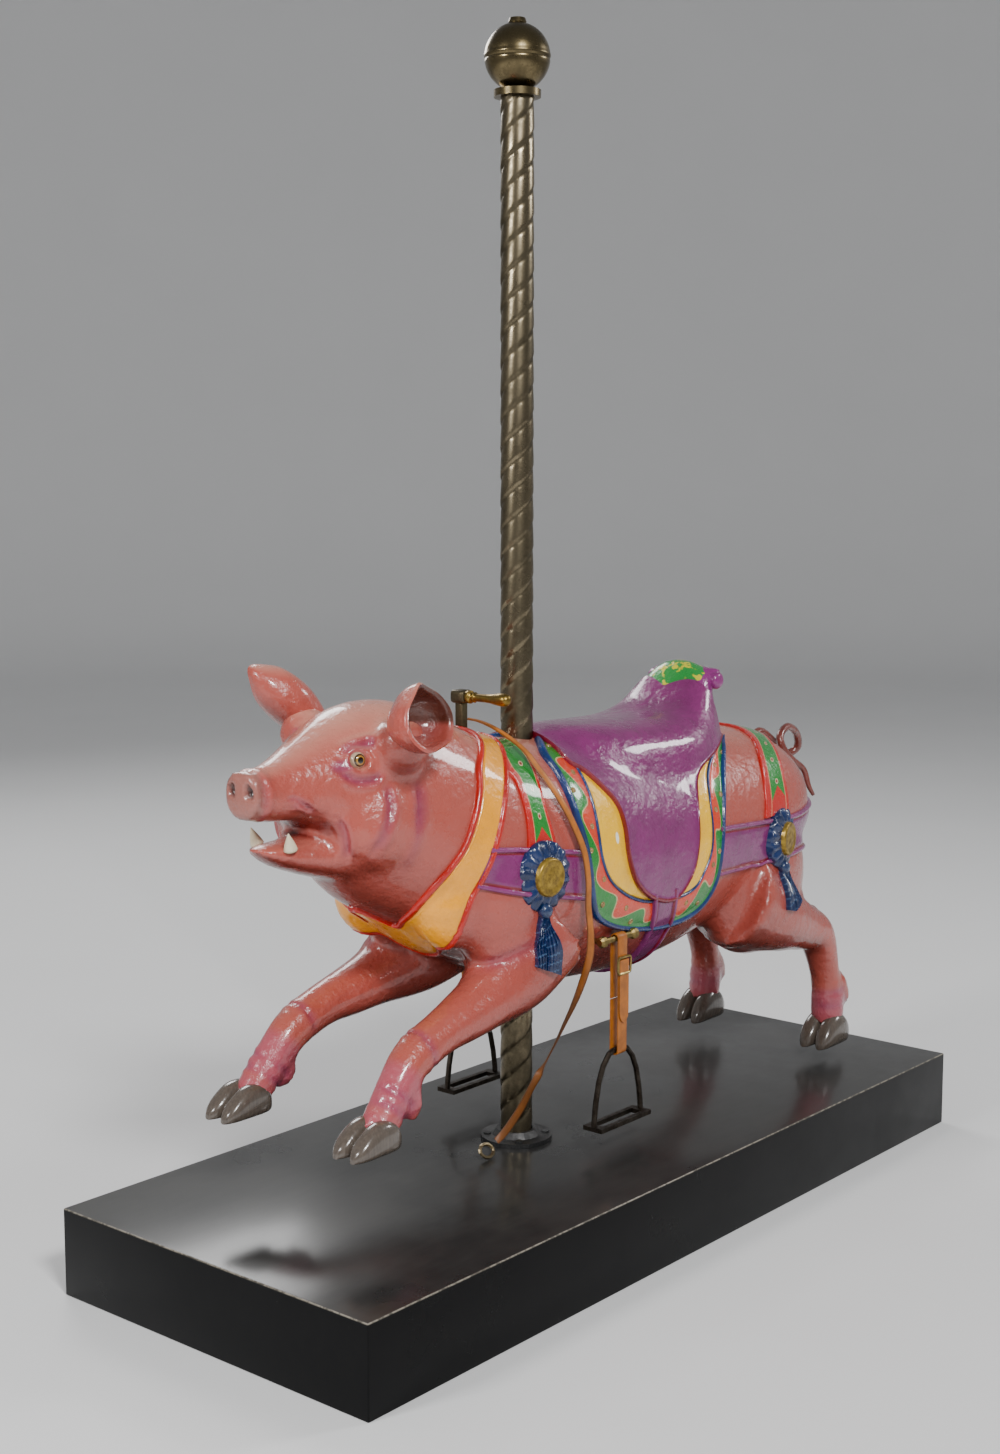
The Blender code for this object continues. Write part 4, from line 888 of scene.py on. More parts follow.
def skin_paint():
    """The carving's paint: a pale painted highlight above, painted brown shade below, violet in the folds
    that is also painted shade, and the saddle's seat.
    """
    finish = Finish("pig_skin_paint")
    z = finish.axis("Z")
    normal = finish.upward()
    cloud = finish.noise(7.0, 3.0, 0.55)
    mottle = finish.noise(38.0, 3.0, 0.6)
    colour = finish.mix(mottle * 0.25, looks().skin, times(looks().skin, 0.72))
    # Painted highlight: the crown colour on faces that look up, most of all high on the pig
    pale = finish.rise(normal + (cloud - 0.5) * 0.5, 0.45, 1.05)
    high_up = finish.rise(z, STAND_TOP + 0.52, STAND_TOP + 0.72)
    # Painted shade: the shade colour on faces that look down, and a darker band 0.2 to 0.46 m over the
    # stand
    under = finish.rise(0.0 - normal + (cloud - 0.5) * 0.5, 0.15, 0.95)
    low = finish.rise(STAND_TOP + 0.40 - z, -0.06, 0.10) * finish.rise(z, STAND_TOP + 0.2, STAND_TOP + 0.33)
    for share, paint in (
            (pale * (high_up * 0.75 + 0.15), looks().crown),
            (under * 0.85, looks().shade),
            (low * 0.3, times(looks().shade, 2.0)),
            (finish.rise(finish.painted("band"), 0.05, 0.6) * 0.7, (0.42, 0.075, 0.12)),
            # Violet paint along the carved folds, also a painted shade in them
            (finish.painted("violet") * (0.75 + (cloud - 0.5) * 0.6), looks().violet),
            (finish.painted("snout") * 0.6, (0.30, 0.145, 0.115)),
            (finish.painted("mouth"), (0.16, 0.012, 0.008)),
            (finish.painted("nostril"), (0.035, 0.008, 0.006)),
            (finish.rise(finish.painted("saddle"), 0.45, 0.55), looks().saddle)):
        colour = finish.mix(share, colour, paint)
    jag = finish.noise(55.0, 2.0, 0.5)
    leaf = finish.painted("leaf")
    green = finish.mix(finish.rise(jag, 0.55, 0.62), (0.015, 0.26, 0.04), (0.62, 0.55, 0.02))
    colour = finish.mix(finish.rise(leaf + jag * 0.5, 0.50, 0.54), colour, green)
    return varnished(finish, colour)


def panel_paint():
    """Yellow with one pale oval on the left side."""
    finish = Finish("panel_yellow_paint")
    spot = finish.vector("SUBTRACT", finish.place(), tuple(pig_point(*PALE_OVAL)))
    reach = finish.vector("LENGTH", finish.vector("MULTIPLY", spot, (1.0, 0.25, 0.42)), output="Value")
    cloud = finish.rise(finish.noise(26.0, 4.0, 0.6), 0.3, 0.8)
    colour = finish.mix(cloud, (1.0, 0.56, 0.0), (0.88, 0.46, 0.0))
    colour = finish.mix(finish.rise(reach, 0.0036, 0.0042), (0.92, 0.90, 0.80), colour)
    return varnished(finish, colour)


def plain_paint(name, colour, wear=0.0, relief=1.0, dark=0.75):
    """One colour of paint, laid by hand."""
    finish = Finish(name)
    cloud = finish.noise(26.0, 4.0, 0.6)
    base = finish.mix(finish.rise(cloud, 0.3, 0.8), colour, times(colour, dark))
    if wear:
        base = finish.mix(finish.rise(finish.noise(210.0, 3.0, 0.7), 0.78 - wear, 0.86 - wear), base,
                          (0.30, 0.22, 0.16))
    return varnished(finish, base, relief)


def border_paint():
    """The blanket's wavy border: green lobes outside and orange ones inside, with a thin light line between
    them, a painted highlight on the carved edge.
    """
    finish = Finish("blanket_border_paint")
    wave = finish.maths("SINE", finish.lay("X") * (math.pi / LOBE) + LOBE_START)
    edge = finish.lay("Y") - (wave * 0.30 + 0.48)
    cloud = finish.noise(60.0, 3.0, 0.6)
    green = finish.mix(cloud * 0.5, (0.006, 0.24, 0.02), (0.004, 0.12, 0.012))
    orange = finish.mix(cloud * 0.5, (0.72, 0.050, 0.008), (0.46, 0.020, 0.006))
    colour = finish.mix(finish.rise(edge, -0.004, 0.004), green, orange)
    # Painted highlight: a thin light line along the carved edge between the lobes
    line = finish.rise(edge, -0.035, -0.015) * (1.0 - finish.rise(edge, 0.015, 0.035))
    colour = finish.mix(line * 0.85, colour, (0.62, 0.50, 0.22))
    return varnished(finish, colour, 0.8)


def ribbon_paint(name, notch, length):
    """A prize ribbon: green with red edges, red below its swallow tail, and small round dots."""
    finish = Finish(name)
    along, across = finish.lay("X"), finish.lay("Y")
    cloud = finish.noise(60.0, 3.0, 0.6)
    green = finish.mix(cloud * 0.5, (0.006, 0.25, 0.022), (0.004, 0.13, 0.014))
    red = finish.mix(cloud * 0.5, (0.60, 0.012, 0.006), (0.36, 0.006, 0.004))
    aside = finish.maths("ABSOLUTE", across - 0.56)
    tail = finish.rise(along + (0.28 - aside) * 7.0, notch - 0.1, notch + 0.1)
    inside = finish.rise(across, 0.22, 0.235) * (1.0 - finish.rise(across, 0.86, 0.875))
    colour = finish.mix(inside * (1.0 - tail), red, green)
    # Painted highlight: thin light lines beside the red edges, fading out at the ribbon's end
    line = (finish.rise(across, 0.195, 0.205) * (1.0 - finish.rise(across, 0.22, 0.23))
            + finish.rise(across, 0.86, 0.87) * (1.0 - finish.rise(across, 0.89, 0.90)))
    colour = finish.mix(line * 0.7 * (1.0 - finish.rise(along, length - 0.3, length)), colour,
                        (0.75, 0.45, 0.25))
    step = finish.maths("FRACT", along / DOT_STEP) - 0.5
    spot = finish.combined(step * DOT_STEP, (across - 0.56) * 6.5)
    reach = finish.vector("LENGTH", spot, output="Value")
    seen = (1.0 - tail) * finish.rise(along, 2.5, 2.6)
    colour = finish.mix((1.0 - finish.rise(reach, 0.46, 0.52)) * seen, colour, (0.66, 0.50, 0.30))
    colour = finish.mix((1.0 - finish.rise(reach, 0.26, 0.32)) * seen, colour, (0.25, 0.03, 0.01))
    return varnished(finish, colour, 0.8)


def eye_glass():
    """Amber glass with a dark pupil and a pale rim."""
    finish = Finish("amber_eye_glass")
    spot = finish.combined(finish.axis("X"), finish.maths("ABSOLUTE", finish.axis("Y")), finish.axis("Z"))
    look = pig_point(EYE[0] - 0.35, EYE[1] + EYE_RADIUS * 0.96, EYE[2] + 0.12)
    reach = finish.vector("DISTANCE", spot, tuple(look), output="Value")
    amber = finish.mix(finish.rise(reach, 0.0055, 0.0082), (0.42, 0.22, 0.035), (0.03, 0.012, 0.004))
    colour = finish.mix(finish.rise(reach, 0.0042, 0.0050), (0.002, 0.002, 0.002), amber)
    colour = finish.mix(finish.rise(reach, 0.0092, 0.0100), colour, (0.45, 0.34, 0.22))
    return finish.finish(colour=colour, rough=0.05, coat=1.0, coat_rough=0.02)


def ivory():
    """Yellowed white of the tusks."""
    finish = Finish("tusk_ivory")
    colour = finish.mix(finish.noise(160.0, 3.0, 0.6), (0.78, 0.70, 0.52), (0.62, 0.50, 0.32))
    return finish.finish(colour=colour, rough=0.3, coat=0.4, coat_rough=0.1,
                         normal=finish.bump(finish.noise(300.0), 0.2))


def hoof_paint():
    """Dark horn with a lighter grain down the hoof."""
    finish = Finish("hoof_paint")
    grain = finish.noise(1.0, 4.0, 0.6, finish.stretched(260.0, 260.0, 40.0))
    colour = finish.mix(grain, (0.04, 0.030, 0.024), (0.15, 0.12, 0.095))
    return finish.finish(colour=colour, rough=0.22, coat=0.6, coat_rough=0.08,
                         normal=finish.bump(grain * 0.6 + finish.noise(140.0) * 0.5, 0.35, 0.0012))


def metal(name, colour, dark, rough=0.3, wear=0.5, scale=30.0, metallic=1.0):
    """Aged metal with darker tarnish in clouds and small scratches."""
    finish = Finish(name)
    cloud = finish.noise(scale, 5.0, 0.65)
    fine = finish.noise(scale * 12.0, 3.0, 0.6)
    tarnish = finish.rise(cloud + fine * 0.25, 0.42, 0.85)
    return finish.finish(
        colour=finish.mix(tarnish * wear, colour, dark), metal=metallic,
        rough=tarnish * 0.22 + rough, normal=finish.bump(cloud * 0.4 + fine * 0.4, 0.18, 0.0006))


def leather_finish(name, colour, dark_foot=False):
    """Smooth strap leather: fine pores, faint creases across and darker rubbed edges."""
    finish = Finish(name)
    along, across = finish.lay("X"), finish.lay("Y")
    pores = finish.node("ShaderNodeTexVoronoi", {"feature": "F1"},
                        {"Vector": finish.place(), "Scale": 900.0}, "Distance")
    cloud = finish.noise(45.0, 4.0, 0.6)
    base = finish.mix(finish.rise(cloud, 0.3, 0.75), times(colour, 1.1), times(colour, 0.68))
    edge = finish.maths("ABSOLUTE", across - 0.5)
    base = finish.mix(finish.rise(edge, 0.30, 0.42) * 0.75, base, times(colour, 0.28))
    if dark_foot:
        base = finish.mix(finish.rise(along, 36.0, 60.0) * 0.72, base, times(colour, 0.16))
    creases = finish.noise(1.0, 3.0, 0.6, finish.combined(along * 2.5, across * 0.6, 0.0))
    return finish.finish(colour=base, rough=finish.rise(cloud, 0.2, 0.8) * 0.15 + 0.38,
                         normal=finish.bump(pores * 0.5 + creases * 0.6, 0.25, 0.0005))


def stand_paint():
    """Satin black board: a top painted greyer as a painted reflection, with scuffs, a rubbed pale line
    along the edges and dust.
    """
    finish = Finish("stand_black_paint")
    x, y, z = finish.axis("X"), finish.axis("Y"), finish.axis("Z")
    top = finish.rise(finish.upward(), 0.6, 0.9)
    cloud = finish.noise(5.0, 5.0, 0.62)
    fine = finish.noise(1.0, 4.0, 0.65, finish.stretched(14.0, 60.0, 30.0))
    side_x = STAND_HIGH.x - finish.maths("ABSOLUTE", x)
    side_y = STAND_HIGH.y - finish.maths("ABSOLUTE", y)
    edge = 1.0 - finish.rise(finish.maths("MINIMUM", side_x, side_y), 0.0008, 0.0024)
    worn = edge * finish.rise(z, STAND_TOP - 0.0026, STAND_TOP - 0.0006)
    chips = finish.rise(finish.noise(90.0, 4.0, 0.7), 0.40, 0.58)
    black = finish.mix(fine, (0.003, 0.003, 0.0035), (0.006, 0.006, 0.006))
    scuffs = finish.rise(cloud + fine * 0.3, 0.4, 0.9)
    # Painted reflection: the top is greyer than the sides, with scuffs in that colour
    sheen_grey = finish.mix(scuffs, (0.016, 0.016, 0.016), (0.034, 0.033, 0.031))
    colour = finish.mix(top, black, sheen_grey)
    colour = finish.mix(worn * (chips * 0.6 + 0.3), colour, (0.30, 0.27, 0.22))
    specks = finish.rise(finish.noise(330.0, 2.0, 0.5), 0.80, 0.84)
    colour = finish.mix(specks * 0.5, colour, (0.2, 0.2, 0.19))
    return finish.finish(colour=colour, rough=finish.rise(cloud, 0.3, 0.75) * 0.14 + 0.26, specular=0.12,
                         coat=top * 0.5, coat_rough=0.16,
                         normal=finish.bump(fine * 0.4 + finish.noise(220.0) * 0.25, 0.10, 0.0006))


def floor_paint():
    """Pale matt floor."""
    finish = Finish("pale_floor")
    colour = finish.mix(finish.noise(2.0, 2.0, 0.5), (0.80, 0.80, 0.80), (0.83, 0.83, 0.83))
    return finish.finish(colour=colour, rough=0.75)


def wear(item, *finishes):
    """Gives a piece its finishes, in the order of its face kinds."""
    kinds = [face.material_index for face in item.data.polygons]
    item.data.materials.clear()
    for finish in finishes:
        item.data.materials.append(finish)
    item.data.polygons.foreach_set("material_index", kinds)
    return item


def dressed(item, angle, *finishes):
    """Shades a piece smooth up to an angle and gives it its finishes."""
    return wear(smooth_shaded(item, angle), *finishes)


def placed(item, slot, *nodes):
    """A finished piece rides on the one body and stands for its nodes, which it hides; slot is not used."""
    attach(item, "root")
    if nodes:
        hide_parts(*nodes)
    return item


class CAROUSEL_PIG_OT_stage(bpy.types.Operator):
    """Adds the pale floor, the soft studio lights and the camera"""

    bl_idname = "carousel_pig.stage"
    bl_label = "Stage"

    def execute(self, context):
        deselect()
        bpy.ops.mesh.primitive_circle_add(vertices=96, radius=FLOOR_RADIUS, fill_type="NGON",
                                          location=(0, 0, 0))
        floor = added("floor")
        bpy.ops.object.mode_set(mode="EDIT")
        bpy.ops.mesh.select_all(action="SELECT")
        for rise, spread in FLOOR_STEPS:
            bpy.ops.mesh.extrude_region_move(TRANSFORM_OT_translate={"value": (0, 0, rise)})
            bpy.ops.transform.resize(value=(spread, spread, 1.0))
        bpy.ops.mesh.delete(type="ONLY_FACE")
        bpy.ops.object.mode_set(mode="OBJECT")
        dressed(floor, 60.0, floor_paint())
        world = bpy.data.worlds.new("studio")
        context.scene.world = world
        world.use_nodes = True
        backdrop = world.node_tree.nodes["Background"]
        backdrop.inputs["Color"].default_value = SKY_COLOUR
        backdrop.inputs["Strength"].default_value = SKY_STRENGTH
        power = sizes().light
        for name, spot, target, width, share in LAMPS:
            data = bpy.data.lights.new(name, "AREA")
            data.shape = "RECTANGLE"
            data.size = width
            data.size_y = width * 0.8
            data.energy = power * share
            lamp = in_scene(name, data)
            lamp.location = spot
            lamp.rotation_euler = (Vector(target) - Vector(spot)).to_track_quat("-Z", "Y").to_euler()
        camera = bpy.data.cameras.new("camera")
        camera.lens = CAMERA_LENS
        camera.sensor_width = CAMERA_SENSOR
        holder = in_scene("camera", camera)
        holder.location = CAMERA_PLACE
        holder.rotation_euler = (math.pi / 2 + CAMERA_TILT, 0.0, CAMERA_TURN)
        context.scene.camera = holder
        return {"FINISHED"}


def strap(name, points, faces_way, width, thickness, segments=3):
    """A flat strap with rounded edges along points; its map runs along it in centimetres."""
    points = [Vector(point) for point in points]
    last = len(points) - 1
    half, thick = width / 2, thickness / 2
    section = []
    for cx, sign in ((half - thick, 1), (-half + thick, -1)):
        for k in range(segments + 1):
            angle = math.pi * (k / segments - 0.5)
            section.append((cx + sign * thick * math.cos(angle), sign * thick * math.sin(angle)))
    rings = []
    for i, point in enumerate(points):
        ahead = (points[min(i + 1, last)] - points[max(i - 1, 0)]).normalized()
        face = Vector(faces_way[i])
        face = (face - ahead * face.dot(ahead)).normalized()
        aside = ahead.cross(face)
        rings.append([point + aside * x + face * y for x, y in section])
    item = lofted(name, rings)
    return mapped(item, run_along(points), [0.5 + x / width for x, _ in section])


class CAROUSEL_PIG_OT_rein(bpy.types.Operator):
    """Adds the leather rein that hangs from the neck, and the snap on its end"""

    bl_idname = "carousel_pig.rein"
    bl_label = "Rein"

    def execute(self, context):
        deselect()
        rows = [(*point, *way) for point, way in zip(REIN_ROUTE, REIN_FACES)]
        rows = even_points(rows, 150)
        points = [from_pole(*row[:3]) for row in rows]
        rein = strap("rein_strap", points, rows[:, 3:], REIN_WIDTH, REIN_THICKNESS)
        dressed(rein, 40.0, leather_finish("rein_leather", looks().leather, dark_foot=True))
        placed(rein, "rein_leather", "rein")
        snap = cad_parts["rein_snap"]
        wear(snap, metal("snap_brass", (0.30, 0.24, 0.14), (0.06, 0.045, 0.03)))
        return {"FINISHED"}


def at_points(mesh, name):
    """A mesh's points or normals as an array."""
    values = np.empty(len(mesh.vertices) * 3)
    mesh.vertices.foreach_get(name, values)
    return values.reshape(-1, 3)


def mirrored_left(local):
    """Places on the pig with those of the left side put on the right."""
    return local * (1, 0, 1) + np.abs(local) * (0, 1, 0)


def carve_lines(local, normals, away, lines):
    """Presses grooves along lines into the points, and returns how much violet each point gets: paint that
    is also painted shade in the grooves.
    """
    violet = np.zeros(len(local))
    folded = mirrored_left(local)
    for points, width, depth, tint in lines:
        route = even_points(points, 24)
        near = np.linalg.norm(folded - route.mean(axis=0), axis=1) < LINE_REACH
        reach = np.linalg.norm(folded[near][:, None] - route, axis=2)
        least = np.full(len(local), FAR)
        least[near] = reach.min(axis=1)
        order = np.zeros(len(local))
        order[near] = reach.argmin(axis=1) / (len(route) - 1)
        ends = np.clip(np.minimum(order, 1.0 - order) / 0.18, 0.15, 1.0)
        groove = np.exp(-(least / (0.55 * width)) ** 2) * ends
        lip = np.exp(-((least - 1.5 * width) / (0.7 * width)) ** 2) * ends
        away -= normals * (groove * depth * 1.5)[:, None]
        away += normals * (lip * depth * 0.8)[:, None]
        violet = np.maximum(violet, np.exp(-(least / (1.25 * width)) ** 2) * ends * tint)
    return violet


class CAROUSEL_PIG_OT_body(bpy.types.Operator):
    """Adds the carved body with its head, legs and the saddle's seat"""

    bl_idname = "carousel_pig.body"
    bl_label = "Body"

    def execute(self, context):
        deselect()
        parts = [lofted("carved_pig", slice_rings(BODY_SLICES, 120, 64)),
                 lofted("jaw", slice_rings(JAW_SLICES, 30, 40)),
                 lofted("seat", saddle_rings())]
        for side in (-1, 1):
            parts.append(limb("foreleg", FORELEG, side, 48, 24))
            parts.append(limb("hind_leg", HIND_LEG, side, 48, 24))
            parts += [limb("dewclaw", claw, side, 10, 12) for claw in DEWCLAWS]
            parts += [swelling("muscle", centre, radii, side) for centre, radii in SWELLINGS]
        bpy.ops.mesh.primitive_cylinder_add(
            vertices=32, radius=SCROLL_RADIUS * CM, depth=2 * SCROLL_HALF_WIDTH * CM,
            location=pig_point(SCROLL[0], 0.0, SCROLL[1]), rotation=(math.pi / 2, 0, 0))
        parts.append(added("scroll"))
        body = join("carved_pig", *parts)
        modify(body, "REMESH", mode="VOXEL", voxel_size=sizes().grain)
        modify(body, "SMOOTH", factor=0.5, iterations=7)
        seat = body.vertex_groups.new(name="seat")
        for vertex in body.data.vertices:
            along, _, high = to_carving(np.array(vertex.co))
            if SEAT_ALONG[0] < along < SEAT_ALONG[1] and SEAT_HIGH[0] < high < SEAT_HIGH[1]:
                share = min(1.0, (high - SEAT_HIGH[0]) / 2.0, (SEAT_HIGH[1] - high) / 2.5)
                seat.add([vertex.index], share, "REPLACE")
        modify(body, "SMOOTH", factor=0.6, iterations=30, vertex_group="seat")
        body.vertex_groups.clear()
        refine_head(body)
        carve_details(body)
        dressed(body, 180.0, skin_paint())
        return {"FINISHED"}


def refine_head(body):
    """Finer faces on the head, for its carved lines."""
    select(body)
    for face in body.data.polygons:
        face.select = bool(to_carving(np.array(face.center))[0] < HEAD_END)
    bpy.ops.object.mode_set(mode="EDIT")
    bpy.ops.mesh.select_mode(type="FACE")
    bpy.ops.mesh.subdivide(number_cuts=1, smoothness=0.0)
    bpy.ops.object.mode_set(mode="OBJECT")


def ring_line(centre, axis, radius):
    """The points of a ring round a limb."""
    axis = Vector(axis).normalized()
    aside = axis.orthogonal().normalized()
    other = axis.cross(aside)
    corners = circle(12)
    return tuple(tuple(Vector(centre) + (aside * c + other * s) * radius) for c, s in corners + corners[:1])


def soft_ball(local, centre, radii):
    """1 at the centre of an ellipsoid, 0 at and beyond its surface."""
    reach = np.linalg.norm((local - np.array(centre)) / np.array(radii), axis=1)
    return np.clip(1.0 - reach ** 2, 0.0, 1.0)


def carve_details(body):
    """Carves the folds, eye sockets and nostrils, and writes the painted places into the mesh."""
    mesh = body.data
    points, normals = at_points(mesh, "co"), at_points(mesh, "normal")
    local = to_carving(points)
    folded = mirrored_left(local)
    away = np.zeros_like(local)
    rings = tuple((ring_line(*ring), 0.55, 0.16, 0.6) for ring in ANKLE_RINGS)
    violet = carve_lines(local, normals, away, CREASES + rings)
    nostril = np.clip(soft_ball(folded, NOSTRIL, (1.3, 0.75, 0.95)) * 3.0, 0.0, 1.0)
    away += np.array((1.0, 0.0, 0.0)) * (nostril * 1.0)[:, None]
    from_eye = np.hypot(folded[:, 0] - EYE[0] + 0.35, (folded[:, 2] - EYE[2]) * 1.12)
    from_eye = np.where(folded[:, 1] > 3.5, from_eye, 99.0)
    away -= normals * (np.clip((1.30 - from_eye) / 0.3, 0.0, 1.0) * 0.75)[:, None]
    away += normals * (np.exp(-((from_eye - 1.62) / 0.34) ** 2) * 0.34)[:, None]
    # Violet at the eye's front corner: paint that is also painted shade under the brow
    corner = soft_ball(folded, (EYE[0] - 3.0, EYE[1] + 0.2, EYE[2] - 0.6), (2.2, 1.6, 1.2))
    violet = np.maximum(violet, corner)
    snout = np.clip((SNOUT_START - local[:, 0]) / 0.6, 0.0, 1.0)
    mouth_line = np.clip(1.0 - np.abs(local[:, 2] - MOUTH_HIGH) / 1.55, 0.0, 1.0)
    mouth_line *= local[:, 0] < MOUTH_END
    facing = np.clip(np.abs(normals[:, 2]) * 3.0 - 0.6, 0.0, 1.0)
    mouth = np.clip(mouth_line * 3.0, 0.0, 1.0) * facing
    band = np.zeros(len(local))
    for centre, radius in BANDS:
        band = np.maximum(band, soft_ball(folded, centre, (radius,) * 3))
    saddle = np.clip((local[:, 2] - saddle_floor(local[:, 0])) / 0.8 + 0.5, 0.0, 1.0)
    saddle *= (local[:, 0] > SADDLE_ALONG[0]) * (local[:, 0] < SADDLE_ALONG[1])
    mesh.vertices.foreach_set("co", (points + away * CM).ravel())
    painted = {"leaf": soft_ball(local, *LEAF), "violet": violet, "nostril": nostril, "snout": snout,
               "mouth": mouth, "band": band, "saddle": saddle}
    for name, values in painted.items():
        layer = mesh.attributes.new(name, "FLOAT", "POINT")
        layer.data.foreach_set("value", values.astype(np.float32))
    mesh.update()


def saddle_floor(along):
    """Height above which the skin belongs to the saddle, at places along the pig."""
    tops = [(row[0], row[1] + 0.9) for row in BODY_SLICES]
    return np.interp(along, [row[0] for row in tops], [row[1] for row in tops])


def turned(name, profile, base, axis, count=48):
    """A piece turned about an axis, from rows of distance along it and radius in metres."""
    axis = Vector(axis).normalized()
    aside = axis.orthogonal().normalized()
    other = axis.cross(aside)
    return lofted(name, [[Vector(base) + axis * distance + (aside * c + other * s) * radius
                          for c, s in circle(count)] for distance, radius in profile])


def block(name, low, high, edge=0.001, segments=2):
    """A box with rounded edges between two corners."""
    deselect()
    low, high = Vector(low), Vector(high)
    bpy.ops.mesh.primitive_cube_add(size=1.0, location=(low + high) / 2, scale=high - low)
    return modify(added(name), "BEVEL", width=edge, segments=segments, limit_method="ANGLE")


class CAROUSEL_PIG_OT_hooves(bpy.types.Operator):
    """Adds two toes to each foot"""

    bl_idname = "carousel_pig.hooves"
    bl_label = "Hooves"

    def execute(self, context):
        toes = []
        for table, out in TOES:
            for side in (-1, 1):
                toe = lofted("toe", slice_rings(table, 14, 22, 2.6))
                toe.data.transform(Matrix.Translation((0, side * out * CM, 0)))
                toes.append(toe)
        hooves = join("hooves", *toes)
        dressed(hooves, 50.0, hoof_paint())
        return {"FINISHED"}


def ear_inside():
    """The hollow of an ear: dark grained wood above, its darkness a painted shade, and pink paint with
    violet below, darker deeper in as painted shade.
    """
    finish = Finish("ear_hollow_paint")
    z = finish.axis("Z")
    grain = finish.noise(1.0, 4.0, 0.6, finish.stretched(160.0, 160.0, 30.0))
    # Painted shade: the hollow turns darker towards the pig's middle
    deep = finish.rise(finish.axis("Y"), pig_point(0, -15.6, 0).y, pig_point(0, -11.8, 0).y)
    # Painted shade: the top half of the hollow dark, with wood grain in it
    shaded_upper = finish.rise(z + (grain - 0.5) * 0.004, STAND_TOP + 0.706, STAND_TOP + 0.716)
    dark = finish.mix(grain, (0.050, 0.011, 0.006), (0.13, 0.035, 0.020))
    pink = finish.mix(deep * 0.8, times(looks().skin, 0.85), (0.22, 0.05, 0.05))
    colour = finish.mix(shaded_upper, pink, dark)
    return varnished(finish, colour, 1.0)


def ear_mesh(form, fold, taper, finishes):
    """A carved ear: a bowl with a thin wall; fold pinches its lower lobe inwards."""
    middle, tip, face, length, width, depth = form
    centre = pig_point(*middle)
    face = Vector(face).normalized()
    tip = (Vector(tip) - face * Vector(tip).dot(face)).normalized()
    across = face.cross(tip)
    wall = EAR_WALL / width
    outside = [(math.sin(math.pi / 2 * i / 12), -math.cos(math.pi / 2 * i / 12)) for i in range(1, 13)]
    inside = [((1.0 - wall) * math.sin(math.pi / 2 * i / 12), -0.76 * math.cos(math.pi / 2 * i / 12))
              for i in range(12, 0, -1)]
    rim = [(1.01, 0.04), (1.0 - wall * 0.3, 0.09), (1.0 - wall * 0.8, 0.06)]
    rings = []
    count = 56
    for share, sink in outside + rim + inside:
        ring = []
        for k in range(count):
            angle = 2 * math.pi * k / count
            low = max(0.0, -math.cos(angle)) ** 3
            along = length * share * math.cos(angle) * (1.0 + 0.05 * math.cos(5 * angle) * share)
            aside = width * share * math.sin(angle) * (1.0 - taper * math.cos(angle))
            lift = sink * depth + fold * low * share * 0.9 + 0.22 * share * math.sin(3 * angle + 0.6)
            ring.append(centre + (tip * along + across * aside + face * lift) * CM)
        rings.append(ring)
    ear = lofted("ear", rings)
    first = len(outside) * count
    ear.data.polygons.foreach_set("material_index", [
        1 if min(face.vertices) >= first + count else 0 for face in ear.data.polygons])
    return wear(ear, *finishes)


class CAROUSEL_PIG_OT_ears(bpy.types.Operator):
    """Adds the two carved ears"""

    bl_idname = "carousel_pig.ears"
    bl_label = "Ears"

    def execute(self, context):
        finishes = bpy.data.materials["pig_skin_paint"], ear_inside()
        ears = join("ears", ear_mesh(EAR_LEFT, 1.0, 0.22, finishes),
                    ear_mesh(EAR_RIGHT, 0.4, 0.02, finishes))
        smooth_shaded(ears, 60.0)
        return {"FINISHED"}


class CAROUSEL_PIG_OT_face(bpy.types.Operator):
    """Adds the glass eyes and the tusks"""

    bl_idname = "carousel_pig.face"
    bl_label = "Eyes and teeth"

    def execute(self, context):
        glass = eye_glass()
        for side, word in ((-1, "left"), (1, "right")):
            deselect()
            bpy.ops.mesh.primitive_uv_sphere_add(
                segments=48, ring_count=24, radius=EYE_RADIUS * CM * 0.995,
                location=pig_point(EYE[0], side * EYE[1], EYE[2]))
            eye = smooth_shaded(added("glass_eye_" + word), 180.0)
            wear(eye, glass)
            placed(eye, "eye_glass", "eye_" + word)
        teeth = []
        for foot, tip, radius in TUSKS:
            for side in (-1, 1):
                start = pig_point(foot[0], side * foot[1], foot[2])
                end = pig_point(tip[0], side * tip[1], tip[2])
                profile = [((end - start).length * t, radius * CM * (1.0 - t ** 1.3) + 0.0004)
                           for t in np.linspace(0.0, 1.0, 10)]
                teeth.append(turned("tusk", profile, start, end - start, 16))
        mouth = join("teeth", *teeth)
        dressed(mouth, 180.0, ivory())
        return {"FINISHED"}


class CAROUSEL_PIG_OT_tail(bpy.types.Operator):
    """Adds the curled tail"""

    bl_idname = "carousel_pig.tail"
    bl_label = "Tail"

    def execute(self, context):
        tail = limb("curled_tail", TAIL, 1, 110, 16)
        dressed(tail, 180.0, plain_paint("tail_paint", (0.20, 0.040, 0.028), 0.04, dark=0.6))
        return {"FINISHED"}


